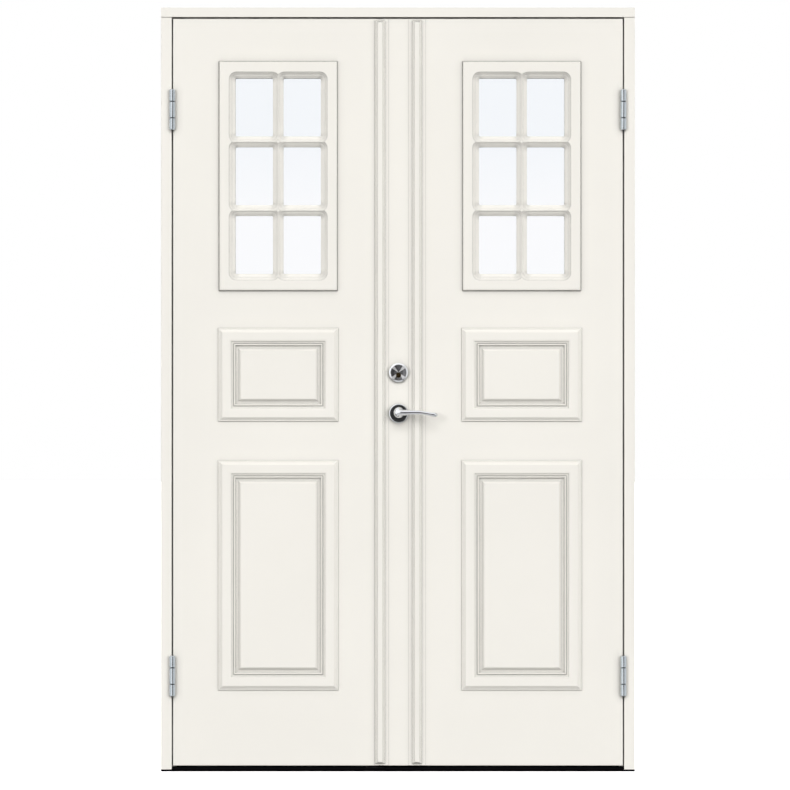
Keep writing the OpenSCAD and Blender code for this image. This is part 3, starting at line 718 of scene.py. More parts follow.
WARM_WHITE = (0.85, 0.826, 0.77)
BLACK = (0.0015, 0.0015, 0.002)
PAINT_SHINE = 0.3
# corners= paints shade into a finish's tight corners, strongest on the window mouldings, beads and hinges
FINISHES = {
    "frame_paint": Finish("satin_frame_paint", WARM_WHITE, gloss=(0.42, 0.5), shine=PAINT_SHINE, corners=0.15),
    "leaf_paint": Finish(
        "satin_leaf_paint", WARM_WHITE, gloss=(0.4, 0.48), shine=PAINT_SHINE, corners=0.3, reach=24 * MM
    ),
    "window_moulding": Finish(
        "satin_window_paint", WARM_WHITE, gloss=(0.38, 0.46), shine=PAINT_SHINE, corners=1.0, reach=18 * MM,
        shut=0.65,
    ),
    "panel_moulding": Finish(
        "satin_panel_paint", WARM_WHITE, gloss=(0.38, 0.46), shine=PAINT_SHINE, corners=0.55, reach=12 * MM
    ),
    "bead": Finish(
        "satin_bead_paint", WARM_WHITE, gloss=(0.38, 0.46), shine=PAINT_SHINE, corners=0.85, reach=10 * MM
    ),
    "leaf_timber": Finish(
        "painted_timber", WARM_WHITE, Pattern.GRAIN, (0.83, 0.805, 0.745), (0.42, 0.52), relief=0.06 * MM,
        shine=PAINT_SHINE,
    ),
    "core_board": Finish(
        "insulation_board", (0.82, 0.79, 0.68), Pattern.SPECKLE, (0.7, 0.66, 0.54), (0.85, 0.95),
        relief=0.2 * MM,
    ),
    "spacer_metal": Finish(
        "mill_aluminium", (0.55, 0.56, 0.57), Pattern.BRUSHED, (0.47, 0.48, 0.5), (0.3, 0.45), 1.0
    ),
    "seal_rubber": Finish(
        "black_rubber", (0.02, 0.02, 0.021), Pattern.CLOUD, (0.032, 0.032, 0.034), (0.6, 0.75)
    ),
    "hinge_zinc": Finish(
        "zinc_plate", (0.62, 0.67, 0.71), Pattern.BRUSHED, (0.54, 0.59, 0.63), (0.2, 0.28), 1.0,
        corners=0.95, reach=16 * MM,
    ),
    "lock_steel": Finish(
        "satin_steel", (0.58, 0.58, 0.59), Pattern.BRUSHED, (0.5, 0.5, 0.51), (0.28, 0.4), 1.0
    ),
    "handle_chrome": Finish(
        "polished_chrome", (0.8, 0.81, 0.83), Pattern.CLOUD, (0.76, 0.77, 0.79), (0.05, 0.08), 1.0,
        0.0005 * MM, 60, corners=0.5, reach=12 * MM,
    ),
    "ring_chrome": Finish(
        "satin_ring_chrome", (0.87, 0.88, 0.9), Pattern.CLOUD, (0.83, 0.84, 0.86), (0.24, 0.3), 1.0,
        0.0005 * MM, 60, corners=0.4, reach=12 * MM,
    ),
    # painted shade: a tone far darker than brass, for the plug and cylinder that sit shaded in the ring's bore
    "cylinder_brass": Finish(
        "cylinder_brass", (0.22, 0.15, 0.065), Pattern.CLOUD, (0.13, 0.09, 0.04), (0.2, 0.32), 1.0,
        corners=0.8, reach=8 * MM,
    ),
    "threshold_black": Finish(
        "black_aluminium", BLACK, Pattern.BRUSHED, (0.003, 0.003, 0.0035), (0.5, 0.6), shine=0.03
    ),
    "base_black": Finish(
        "black_plastic", BLACK, Pattern.CLOUD, (0.002, 0.002, 0.0025), (0.5, 0.6), shine=0.02
    ),
}
MATERIALS = {name: finish.make() for name, finish in FINISHES.items()}
MATERIALS["window_glass"] = Glass().make()


# ---------------------------------------------------------------- studio


@dataclass
class Studio:
    """The camera, the lights, the world and the floor."""

    across: float = 2.151
    lens: float = 600
    aim: Place = (-0.008, -0.0525, 1.025)
    floor_half: float = 120
    fill: float = 0.05
    # degrees right of ahead, degrees up, full within, gone beyond, strength (below 0: an opening)
    boxes: tuple[tuple[float, float, float, float, float], ...] = (
        (0, 0, 178, 180, 0.14),
        (-42, 5, 24, 50, 1.05),
        (0, 70, 28, 52, 1.0),
        (60, 0, 18, 46, 0.75),
        (0, -60, 12, 32, 0.65),
        (0, -1, 5, 10, -0.09),
    )

    def build(self) -> None:
        """Sets up the camera first, and then the floor, the world and the lights."""
        self._camera()
        self._floor()
        self._world()
        self._sun("left_key", -24.0, 9.0, 30, 1.25)
        self._sun("right_key", 32.0, 9.0, 30, 1.25)
        self._sun("high_key", 4.0, 34.0, 30, 1.56)
        self._sun("rear", 186.0, 22.0, 30, 2.6)
        self._sun("right_side", 118.0, 18.0, 30, 1.5)
        self._sun("left_side", -118.0, 18.0, 30, 1.3)

    def _camera(self) -> None:
        """Looks at the outside face square-on."""
        deselect()
        sensor = 36
        away = self.across * self.lens / sensor
        place = (self.aim[0], self.aim[1] - away, self.aim[2])
        bpy.ops.object.camera_add(location=place, rotation=(math.pi / 2, 0, 0))
        camera = bpy.context.object
        camera.data.lens = self.lens
        camera.data.sensor_width = sensor
        camera.data.clip_end = 500
        bpy.context.scene.camera = camera
        bpy.context.scene.view_settings.view_transform = "Standard"

    def _floor(self) -> None:
        """A wide pale floor that glows a little, so that it has no visible end."""
        deselect()
        bpy.ops.mesh.primitive_plane_add(size=2 * self.floor_half, location=(0, 0, -0.2 * MM))
        floor = bpy.context.object
        floor.name = "pale_floor"
        sheet = Sheet("pale_floor")
        clouds = sheet.noise(sheet.mapped((1, 1, 1)), 0.6)
        colour = sheet.blend(clouds, 0, (0.88, 0.88, 0.88), (0.9, 0.9, 0.9))
        sheet.join(colour, "Color", sheet.shader, "Base Color")
        sheet.shader.inputs["Roughness"].default_value = 0.9
        sheet.shader.inputs["Emission Color"].default_value = (1, 1, 1, 1)
        sheet.shader.inputs["Emission Strength"].default_value = 0.82
        floor.data.materials.append(sheet.material)
        floor.visible_diffuse = False
        floor.visible_glossy = False

    def _world(self) -> None:
        """White to the eye and through glass, dim as a fill, and soft boxes for the metal to mirror."""
        world = bpy.data.worlds.new("studio")
        bpy.context.scene.world = world
        world.use_nodes = True
        nodes, links = world.node_tree.nodes, world.node_tree.links
        nodes.clear()
        output = nodes.new("ShaderNodeOutputWorld")
        ray = nodes.new("ShaderNodeLightPath")
        mirrored = self._soft_boxes(nodes, links)
        fills = {}
        colours = {
            "seen": (1, 1, 1), "fill": (self.fill,) * 3, "mirrored": (1, 1, 1), "through": (1, 1.008, 1.03)
        }
        for name, colour in colours.items():
            fills[name] = nodes.new("ShaderNodeBackground")
            fills[name].inputs["Color"].default_value = (*colour, 1)
        links.new(mirrored, fills["mirrored"].inputs["Color"])
        result = fills["fill"].outputs[0]
        for kind, name in (("Glossy", "mirrored"), ("Transmission", "through"), ("Camera", "seen")):
            mix = nodes.new("ShaderNodeMixShader")
            links.new(ray.outputs[f"Is {kind} Ray"], mix.inputs[0])
            links.new(result, mix.inputs[1])
            links.new(fills[name].outputs[0], mix.inputs[2])
            result = mix.outputs[0]
        links.new(result, output.inputs[0])

    def _soft_boxes(self, nodes: bpy.types.Nodes, links: bpy.types.NodeLinks) -> bpy.types.NodeSocket:
        """The soft boxes round the doors, the same in front and behind, with a dark opening straight ahead.

        Args:
            nodes: The world's nodes.
            links: The world's links.

        Returns:
            The socket that gives their brightness in a direction.
        """
        place = nodes.new("ShaderNodeTexCoord")
        both = nodes.new("ShaderNodeSeparateXYZ")
        links.new(place.outputs["Generated"], both.inputs[0])
        front = nodes.new("ShaderNodeMath")
        front.operation = "ABSOLUTE"
        links.new(both.outputs["Y"], front.inputs[0])
        way = nodes.new("ShaderNodeCombineXYZ")
        links.new(both.outputs["X"], way.inputs["X"])
        links.new(front.outputs[0], way.inputs["Y"])
        links.new(both.outputs["Z"], way.inputs["Z"])
        total = None
        for around, above, inner, outer, strength in self.boxes:
            near = nodes.new("ShaderNodeVectorMath")
            near.operation = "DOT_PRODUCT"
            near.inputs[1].default_value = self._direction(around, above)
            links.new(way.outputs[0], near.inputs[0])
            lobe = nodes.new("ShaderNodeMapRange")
            lobe.interpolation_type = "SMOOTHSTEP"
            lobe.inputs["From Min"].default_value = math.cos(math.radians(outer))
            lobe.inputs["From Max"].default_value = math.cos(math.radians(inner))
            opening = strength < 0
            lobe.inputs["To Min"].default_value = 1 if opening else 0
            lobe.inputs["To Max"].default_value = -strength if opening else strength
            links.new(near.outputs["Value"], lobe.inputs[0])
            if total is None:
                total = lobe.outputs[0]
                continue
            blend = nodes.new("ShaderNodeMath")
            blend.operation = "MULTIPLY" if opening else "ADD"
            links.new(total, blend.inputs[0])
            links.new(lobe.outputs[0], blend.inputs[1])
            total = blend.outputs[0]
        return total

    def _direction(self, around: float, above: float) -> Vector:
        """A direction from two angles, with +Y straight ahead.

        Args:
            around: Degrees to the right of straight ahead.
            above: Degrees above the horizon.

        Returns:
            The direction, one long.
        """
        turn, lift = math.radians(around), math.radians(above)
        return Vector((math.cos(lift) * math.sin(turn), math.cos(lift) * math.cos(turn), math.sin(lift)))

    def _sun(self, name: str, around: float, above: float, softness: float, strength: float) -> None:
        """Adds a soft, even light from a direction.

        Args:
            name: What it is called.
            around: Degrees to the right of straight in front.
            above: Degrees above the horizon.
            softness: How wide it looks from the doors, in degrees.
            strength: Its strength.
        """
        deselect()
        bpy.ops.object.light_add(type="SUN", location=(0, 0, 6))
        light = bpy.context.object
        light.name = f"{name}_light"
        light.data.angle = math.radians(softness)
        light.data.energy = strength
        place = self._direction(around, above)
        place.y = -place.y
        light.rotation_euler = (-place).to_track_quat("-Z", "Y").to_euler()
        light.visible_glossy = False
        light.visible_transmission = False


# ---------------------------------------------------------------- frame


@dataclass
class DoorFrame:
    """The head, the jambs, the threshold and what is fixed to them."""

    ease: float = 1.1 * MM
    joint: float = 2054 * MM
    outside: float = -52.5 * MM
    line: float = 1.5 * MM
    depth: float = 7 * MM

    def build(self) -> None:
        """Rounds the painted members' long edges, and dresses the black sill parts."""
        for node in ("frame_head", "frame_jamb_left", "frame_jamb_right"):
            piece = eased_copy(node, f"{node}_painted", self.ease, self._long_edge)
            if node != "frame_head":
                self._part(piece)
            dress(piece, "frame", MATERIALS["frame_paint"], (node,))
        piece = eased_copy("threshold", "threshold_anodised", 0.5 * MM, self._long_edge)
        dress(piece, "frame", MATERIALS["threshold_black"], ("threshold",))

    def _part(self, jamb: bpy.types.Object) -> None:
        """Opens the joint with the head by a shadow line on the outside.

        Args:
            jamb: The jamb's piece.
        """
        low = (-1, self.outside - self.line, self.joint - self.line)
        high = (1, self.outside + self.depth, self.joint + self.line)
        combine(jamb, new_block("joint", low, high), "DIFFERENCE")

    def _long_edge(self, a: Vector, b: Vector) -> bool:
        """Whether an edge is one of a member's long edges, or outside at the joint with the head.

        Args:
            a: One end of the edge.
            b: The other end.

        Returns:
            Whether it is rounded.
        """
        long = 0.4
        joint = max(abs(a.z - self.joint), abs(b.z - self.joint)) < CLOSE
        outside = max(a.y, b.y) < self.outside + CLOSE
        return (a - b).length > long or (joint and outside)


# ---------------------------------------------------------------- leaves


@dataclass
class Leaf:
    """One leaf's skins, with their outer edges eased."""

    side: Side
    ease: float = 0.8 * MM
    long: float = 0.3

    def build(self) -> None:
        """Makes the outer and the inner skin."""
        name = self.side.label
        for face in Face:
            node = f"{name}_{face.label}_skin"
            low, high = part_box(node)
            plane = low.y if face is Face.OUTER else high.y

            def rounded(a: Vector, b: Vector, y: float = plane) -> bool:
                """Whether an edge is a long one of the face that shows."""
                return max(abs(a.y - y), abs(b.y - y)) < CLOSE and (a - b).length > self.long

            piece = eased_copy(node, f"{node}_painted", self.ease, rounded)
            dress(piece, f"{name}_leaf", MATERIALS["leaf_paint"], (node,))


@dataclass
class MouldedPanel:
    """A moulded panel: a stepped border, a bead and a raised field."""

    side: Side
    row: Row
    border: tuple[Point, ...] = (
        (0, 0.3), (0.1, 0.6), (2.2, 4.3), (4.9, 4.6), (5.1, 4.9), (12.5, 10.0), (13.0, 10.0), (29.6, 10.0),
        (32.6, 9.6), (35.6, 8.7),
    )
    descent: tuple[Point, ...] = (
        (36.0, 8.4), (38.2, 6.2), (40.6, 5.9), (40.9, 5.7), (43.0, 4.4), (43.4, 4.4), (43.6, 5.6),
        (44.1, 7.0), (44.7, 7.5), (47.0, 7.5), (47.6, 7.0), (48.1, 5.4), (48.4, 2.6),
    )
    field: tuple[Point, ...] = ((51.2, 1.6), (52.0, 1.8), (55.2, 2.4), (55.6, 2.6), (62.8, 8.6))

    def build(self) -> None:
        """Makes the left leaf's panel, or copies it for the right leaf."""
        node = f"{self.side.label}_{self.row.label}_panel"
        name = f"{node}_moulded"
        piece = copy_across(node, name) or self._model(node, name)
        body = f"{self.side.label}_leaf"
        dress(piece, body, MATERIALS["panel_moulding"], (node,))

    def _model(self, node: str, name: str) -> bpy.types.Object:
        """Insets a block's outer face along the section.

        Args:
            node: The panel's node.
            name: The panel's name.

        Returns:
            The panel.
        """
        low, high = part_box(node)
        steps = [(u * MM, v * MM) for u, v in self.border + self.descent + self.field]
        piece = new_block(name, (low.x, high.y - steps[0][1], low.z), tuple(high))
        with editing(piece):
            pick_faces(piece, lambda middle, normal: normal.y < -STEEP)
            step_in(steps)
        smooth(piece, 24)
        return piece


@dataclass
class Bead:
    """An upright half-round bead with stepped sides and shorter, sloped ends."""

    node: str
    relieved: bool = False
    half: float = 22 * MM
    end: float = 9 * MM
    low_side: float = 15 * MM
    section: tuple[Point, ...] = (
        (0, 0.6), (0.1, 2.2), (5.8, 2.5), (7.9, 2.9), (8.1, 3.1), (10.8, 7.1), (13.4, 7.6), (13.6, 7.8),
        (16.1, 11.0),
    )

    def build(self) -> None:
        """Insets a block's outer face, shortens the ends, and trims the side over the other leaf."""
        low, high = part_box(self.node)
        right = high.x
        centre = right - self.half
        steps = [(u * MM, v * MM) for u, v in self.section]
        piece = new_block(
            f"{self.node}_moulded", (centre - self.half, high.y - steps[0][1], low.z), (right, high.y, high.z)
        )
        with editing(piece):
            pick_faces(piece, lambda middle, normal: normal.y < -STEEP)
            step_in(steps)
        width = steps[-1][0]
        for z in (low.z, high.z):
            with editing(piece, "VERT"):
                mesh = bmesh.from_edit_mesh(piece.data)
                for vert in mesh.verts:
                    vert.select_set(abs(vert.co.z - z) < width + 1 * MM)
                bmesh.update_edit_mesh(piece.data)
                bpy.ops.transform.resize(value=(1, 1, self.end / width), center_override=(centre, high.y, z))
        if self.relieved:
            self._relieve(piece, centre, high.y)
        smooth(piece, 24)
        dress(piece, "right_leaf", MATERIALS["bead"], (self.node,))

    def _relieve(self, piece: bpy.types.Object, centre: float, back: float) -> None:
        """Trims the low side, and sets its back clear of the leaf that it laps over.

        Args:
            piece: The bead.
            centre: Its middle in X.
            back: Its back in Y.
        """
        clear = 0.5 * MM
        with editing(piece):
            bpy.ops.mesh.select_all(action="SELECT")
            bpy.ops.mesh.bisect(
                plane_co=(centre - self.low_side, 0, 0), plane_no=(-1, 0, 0), use_fill=True, clear_outer=True
            )
        cutter = new_block("relief", (centre - 40 * MM, back - clear, 0), (centre, back + 5 * MM, 3))
        combine(piece, cutter, "DIFFERENCE")


@dataclass
class WindowGrid:
    """The moulding round a leaf's glass, with its bars and the collar that holds the glass."""

    side: Side
    face: Face
    light: Point = (102 * MM, 158 * MM)
    pitch: Point = (130.5 * MM, 187.2 * MM)
    flare: float = 18 * MM
    corner: float = 21 * MM
    lap: float = 27.5 * MM
    edge: tuple[Point, ...] = (
        (0, 0.4), (0.4, 2.4), (1.2, 5.6), (2.3, 8.0), (3.8, 9.2), (5.8, 9.7), (8.0, 9.95), (9.4, 10.0),
    )

    def build(self) -> None:
        """Makes the left leaf's grid, or copies it for the right leaf."""
        node = f"{self.side.label}_window_{self.face.label}_grid"
        name = f"{node}_moulded"
        piece = copy_across(node, name) or self._model(node, name)
        body = f"{self.side.label}_leaf"
        dress(piece, body, MATERIALS["window_moulding"], (node,))

    def _model(self, node: str, name: str) -> bpy.types.Object:
        """Insets the flange, draws out the collar, and cuts the lights.

        Args:
            node: The grid's node.
            name: The grid's name.

        Returns:
            The grid.
        """
        low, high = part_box(node)
        skin_low, skin_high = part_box(f"{self.side.label}_{self.face.label}_skin")
        out = self.face.value
        leaf = skin_low.y if self.face is Face.OUTER else skin_high.y
        proud, glass = (low.y, high.y) if self.face is Face.OUTER else (high.y, low.y)
        steps = [(u * MM, v * MM) for u, v in self.edge]
        ends = sorted((leaf, leaf + out * steps[0][1]))
        piece = new_block(name, (low.x, ends[0], low.z), (high.x, ends[1], high.z))
        with editing(piece):
            pick_faces(piece, lambda middle, normal: normal.y * out > STEEP)
            step_in(steps)
            pick_faces(piece, lambda middle, normal: normal.y * out < -STEEP)
            step_in([(0, 0), (self.lap, 0)])
            step_in([(0, 0), (0, abs(glass - leaf))])
        self._cut_lights(piece, (low + high) / 2, proud, glass)
        tidy_mesh(piece)
        smooth(piece, 22)
        return piece

    def _cut_lights(self, piece: bpy.types.Object, middle: Vector, proud: float, glass: float) -> None:
        """Cuts the lights in two rounds, like a chessboard's squares, so that no two cutters touch.

        Args:
            piece: The grid.
            middle: Its middle.
            proud: Its face in Y.
            glass: Its back in Y.
        """
        first = self._cutter(middle.x, middle.z, proud, glass)
        for odd in (0, 1):
            cutters = [
                duplicate(first, "light_cutter", ((column - 0.5) * self.pitch[0], 0, row * self.pitch[1]))
                for column in (0, 1)
                for row in (-1, 0, 1)
                if (column + row) % 2 == odd
            ]
            combine(piece, join(cutters, "light_cutters"), "DIFFERENCE")
        bpy.data.objects.remove(first, do_unlink=True)

    def _ogee(self, depth: float) -> list[Point]:
        """The section of a light's side: distance in from its outline, and depth below the face.

        Args:
            depth: The depth of the whole moulding, from its face to the glass.

        Returns:
            The section's points, from the face to past the glass.
        """
        section = (
            (0, 0), (0.05, 1.2), (2.5, 3.0), (5.0, 4.6), (5.2, 4.9), (7.6, 7.0), (7.9, 7.2), (10.6, 8.1),
            (10.9, 8.4), (14.0, 10.6), (17.6, 13.3), (18.0, 13.4),
        )
        past = 3 * MM
        points = [(along * MM, deep * MM) for along, deep in section]
        return [*points, (self.flare + 0.02 * MM, depth + past)]

    def _cutter(self, x: float, z: float, proud: float, glass: float) -> bpy.types.Object:
        """The shape that is cut away for one light.

        Args:
            x: The light's middle in X.
            z: The light's middle in Z.
            proud: The moulding's face in Y.
            glass: The moulding's back in Y.

        Returns:
            The solid to cut with.
        """
        inwards, spare = -self.face.value, 6 * MM
        half_x, half_z = self.light[0] / 2 + self.flare, self.light[1] / 2 + self.flare
        near, far = sorted((proud - inwards * spare, proud))
        piece = new_block("light_cutter", (x - half_x, near, z - half_z), (x + half_x, far, z + half_z))
        with editing(piece, "EDGE"):
            pick_edges(piece, lambda a, b: abs(a.x - b.x) + abs(a.z - b.z) < CLOSE)
            bpy.ops.mesh.bevel(offset=self.corner, segments=9, affect="EDGES")
        with editing(piece):
            pick_faces(piece, lambda middle, normal: normal.y * inwards > STEEP)
            step_in(self._ogee(abs(glass - proud)))
        return piece


# ---------------------------------------------------------------- hinges


@dataclass
class Hinge:
    """A three-knuckle hinge: two halves and a pin."""

    side: Side
    screw_rows: tuple[float, ...] = (-40 * MM, 0.0, 40 * MM)
    height: float = 110 * MM
    outer_knuckle: float = 32.6 * MM
    radius: float = 8.5 * MM
    bite: float = 1.7 * MM
    pin: Point = (614 * MM, -61.5 * MM)
    plate_face: float = 2 * MM
    screw: Point = (3.4 * MM, 1.2 * MM)
    screw_edges: Point = (20 * MM, 9 * MM)

    def build(self) -> None:
        """Chamfers the ends of the knuckles, and adds the screws."""
        name = self.side.label
        for half, body in ((Half.FRAME, "frame"), (Half.LEAF, f"{name}_leaf")):
            node = f"{name}_hinge_{half.label}_plates"
            piece = eased_copy(node, f"{node}_plated", 0.3 * MM, lambda a, b: False, round_shaded=True)
            self._chamfer(piece)
            smooth(piece, 40)
            dress(piece, body, MATERIALS["hinge_zinc"], (node,))
            self._screws(half, body)

    def _chamfer(self, piece: bpy.types.Object) -> None:
        """Cuts a chamfer round the end of every knuckle.

        Args:
            piece: One half of this side's hinges.
        """
        name = self.side.label
        low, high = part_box(f"{name}_hinge_frame_plates")
        half = self.height / 2
        ends = (-half, -half + self.outer_knuckle, half - self.outer_knuckle, half)
        first = self._ring(0)
        for middle in (low.z + half, high.z - half):
            rings = [duplicate(first, "chamfer", (0, 0, middle + end)) for end in ends]
            combine(piece, join(rings, "chamfers"), "DIFFERENCE")
        bpy.data.objects.remove(first, do_unlink=True)

    def _ring(self, z: float) -> bpy.types.Object:
        """A ring with a V-shaped inside, centred on the pin.

        Args:
            z: The height of its middle.

        Returns:
            The ring.
        """
        over, sides = 0.6 * MM, 48
        x, reach = self.side.value * self.pin[0], self.bite + over
        ring = new_round("chamfer", "Z", self.radius + 2 * over, (x, self.pin[1], z - reach), 2 * reach, sides)
        for way in (-1, 1):
            deselect()
            bpy.ops.mesh.primitive_cone_add(
                vertices=sides, radius1=self.radius - self.bite, radius2=self.radius + over,
                depth=reach + 0.02 * MM,
                location=(x, self.pin[1], z + way * reach / 2),
                rotation=(0 if way > 0 else math.pi, 0, 0),
            )
            combine(ring, settle(bpy.context.object), "DIFFERENCE")
        return ring

    def _screws(self, half: Half, body: str) -> None:
        """Adds the screws of one half of both hinges, set flush in the plate.

        Args:
            half: Which half.
            body: The body that they ride on.
        """
        name = f"{self.side.label}_hinge_{half.label}"
        low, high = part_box(f"{name}_plates")
        radius, length = self.screw
        sunk = 0.05 * MM
        x = self.side.value * (self.pin[0] + half.value * (self.plate_face - sunk))
        places = [
            Vector((x, high.y - self.screw_edges[index % 2], middle + row))
            for middle in (low.z + self.height / 2, high.z - self.height / 2)
            for index, row in enumerate(self.screw_rows)
        ]
        first = screw_head(places[0], "X", self.side.value * half.value * length, radius)
        rest = [duplicate(first, "screw", place - places[0]) for place in places[1:]]
        piece = join([first, *rest], f"{name}_screws")
        dress(piece, body, MATERIALS["hinge_zinc"])


def screw_head(place: Place, axis: str, length: float, radius: float) -> bpy.types.Object:
    """A flat screw head with a cross recess.

    Args:
        place: The middle of its face.
        axis: The axis that it is driven along.
        length: How far it goes in, and which way by its sign.
        radius: Its radius.

    Returns:
        The screw head.
    """
    piece = new_round("screw", axis, radius, place, length, 32)
    along = "XYZ".index(axis)
    across = [i for i in range(3) if i != along]
    slot, arm, above, below = 0.45 * MM, radius * 0.62, length * 0.2, length * 0.7
    for first, second in (across, across[::-1]):
        low, high = list(place), list(place)
        low[first], high[first] = place[first] - arm, place[first] + arm
        low[second], high[second] = place[second] - slot, place[second] + slot
        low[along], high[along] = sorted((place[along] - above, place[along] + below))
        combine(piece, new_block("recess", tuple(low), tuple(high)), "DIFFERENCE")
    smooth(piece, 40)
    return piece


# ---------------------------------------------------------------- lock furniture


@dataclass
class Turned:
    """A round cover turned from bar, with a bore through its middle."""

    node: str
    radius: float
    bore: float
    section: tuple[Point, ...]
    face: Face
    drop: float = 0.0
    sides: int = 64

    def build(self, body: str, slot: str, material: bpy.types.Material) -> None:
        """Insets a round bar's face along the section, and opens the bore.

        Args:
            body: The body that it rides on.
            slot: The record's slot of its finish. Not used.
            material: Its material.
        """
        low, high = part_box(self.node)
        middle, out = (low + high) / 2, self.face.value
        base = high.y if self.face is Face.OUTER else low.y
        steps = [(u * MM, v * MM) for u, v in self.section]
        start = (middle.x, base, middle.z)
        piece = new_round(f"{self.node}_turned", "Y", self.radius, start, out * steps[0][1])
        with editing(piece):
            pick_faces(piece, lambda place, normal: normal.y * out > STEEP)
            step_in(steps)
        near, far = sorted((base - out * 2 * MM, base + out * 30 * MM))
        start = (middle.x, near, middle.z - self.drop)
        bore = new_round("bore", "Y", self.bore, start, far - near, self.sides)
        combine(piece, bore, "DIFFERENCE")
        smooth(piece, 28)
        dress(piece, body, material, (self.node,))


@dataclass
class Lever:
    """A lever: a round neck that bends over into a slim, drooping grip."""

    node: str
    face: Face
    handle_z: float = 975 * MM
    axis_x: float = 1.5 * MM
    elbow: tuple[float, ...] = (11.4, 14.6, 14.6, 9.0, 7.7)
    # along the grip from the axis, up from the axis, back towards the door, radius
    grip: tuple[tuple[float, float, float, float], ...] = (
        (17, 2.0, 0, 7.6), (24, 2.1, 0, 6.9), (33, 2.4, 0, 6.3), (52, 2.7, 0, 5.9), (68, 1.3, 0, 5.2),
        (82, -1.2, 0, 5.2), (91, -2.6, 0.3, 5.9), (97.5, -3.7, 1.2, 6.3), (102, -4.4, 4.0, 6.0),
        (104.2, -4.8, 7.2, 4.4),
    )

    def build(self) -> None:
        """Makes the lever and dresses it."""
        piece = self._sweep(self._stations())
        dress(piece, "handle", MATERIALS["handle_chrome"], (self.node,))

    def _stations(self) -> list[tuple[Place, float]]:
        """Where the section's middle runs, from the rose to the tip.

        Returns:
            Each station's place, and the radius there.
        """
        low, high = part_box(self.node)
        out, inset, bend = self.face.value, 8 * MM, 9 * MM
        neck = high.y if self.face is Face.OUTER else low.y
        reach = (low.y if self.face is Face.OUTER else high.y) - out * inset
        stations = [
            ((self.axis_x, neck, self.handle_z), 9.0 * MM),
            ((self.axis_x, neck + out * 12 * MM, self.handle_z), 8.6 * MM),
            ((self.axis_x, reach - out * 20 * MM, self.handle_z + 0.5 * MM), 9.2 * MM),
        ]
        for i, radius in enumerate(self.elbow):
            turn = math.radians(90 / (len(self.elbow) - 1) * i)
            x = self.axis_x + bend * (1 - math.cos(turn)) * 0.8
            y = reach - out * (bend + 2 * MM) * (1 - math.sin(turn))
            stations.append(((x, y, self.handle_z + 2.2 * MM), radius * MM))
        for x, up, back, radius in self.grip:
            place = (self.axis_x + x * MM, reach - out * back * MM, self.handle_z + up * MM)
            stations.append((place, radius * MM))
        return stations

    def _sweep(self, stations: list[tuple[Place, float]]) -> bpy.types.Object:
        """Sweeps a round section along the stations.

        Args:
            stations: Each station's place, and the radius there.

        Returns:
            The lever.
        """
        deselect()
        bpy.ops.curve.primitive_nurbs_path_add()
        path = bpy.context.object
        path.name = f"{self.node}_polished"
        path.data.splines.clear()
        spline = path.data.splines.new("NURBS")
        spline.points.add(len(stations) - 1)
        for point, (place, radius) in zip(spline.points, stations):
            point.co = (*place, 1)
            point.radius = radius / MM
        spline.order_u = 3
        spline.use_endpoint_u = True
        spline.resolution_u = 8
        path.data.dimensions = "3D"
        path.data.bevel_depth = 1 * MM
        path.data.bevel_resolution = 10
        path.data.use_fill_caps = True
        activate(path)
        bpy.ops.object.convert(target="MESH")
        piece = bpy.context.object
        tidy_mesh(piece)
        settle(piece)
        smooth(piece, 40)
        return piece


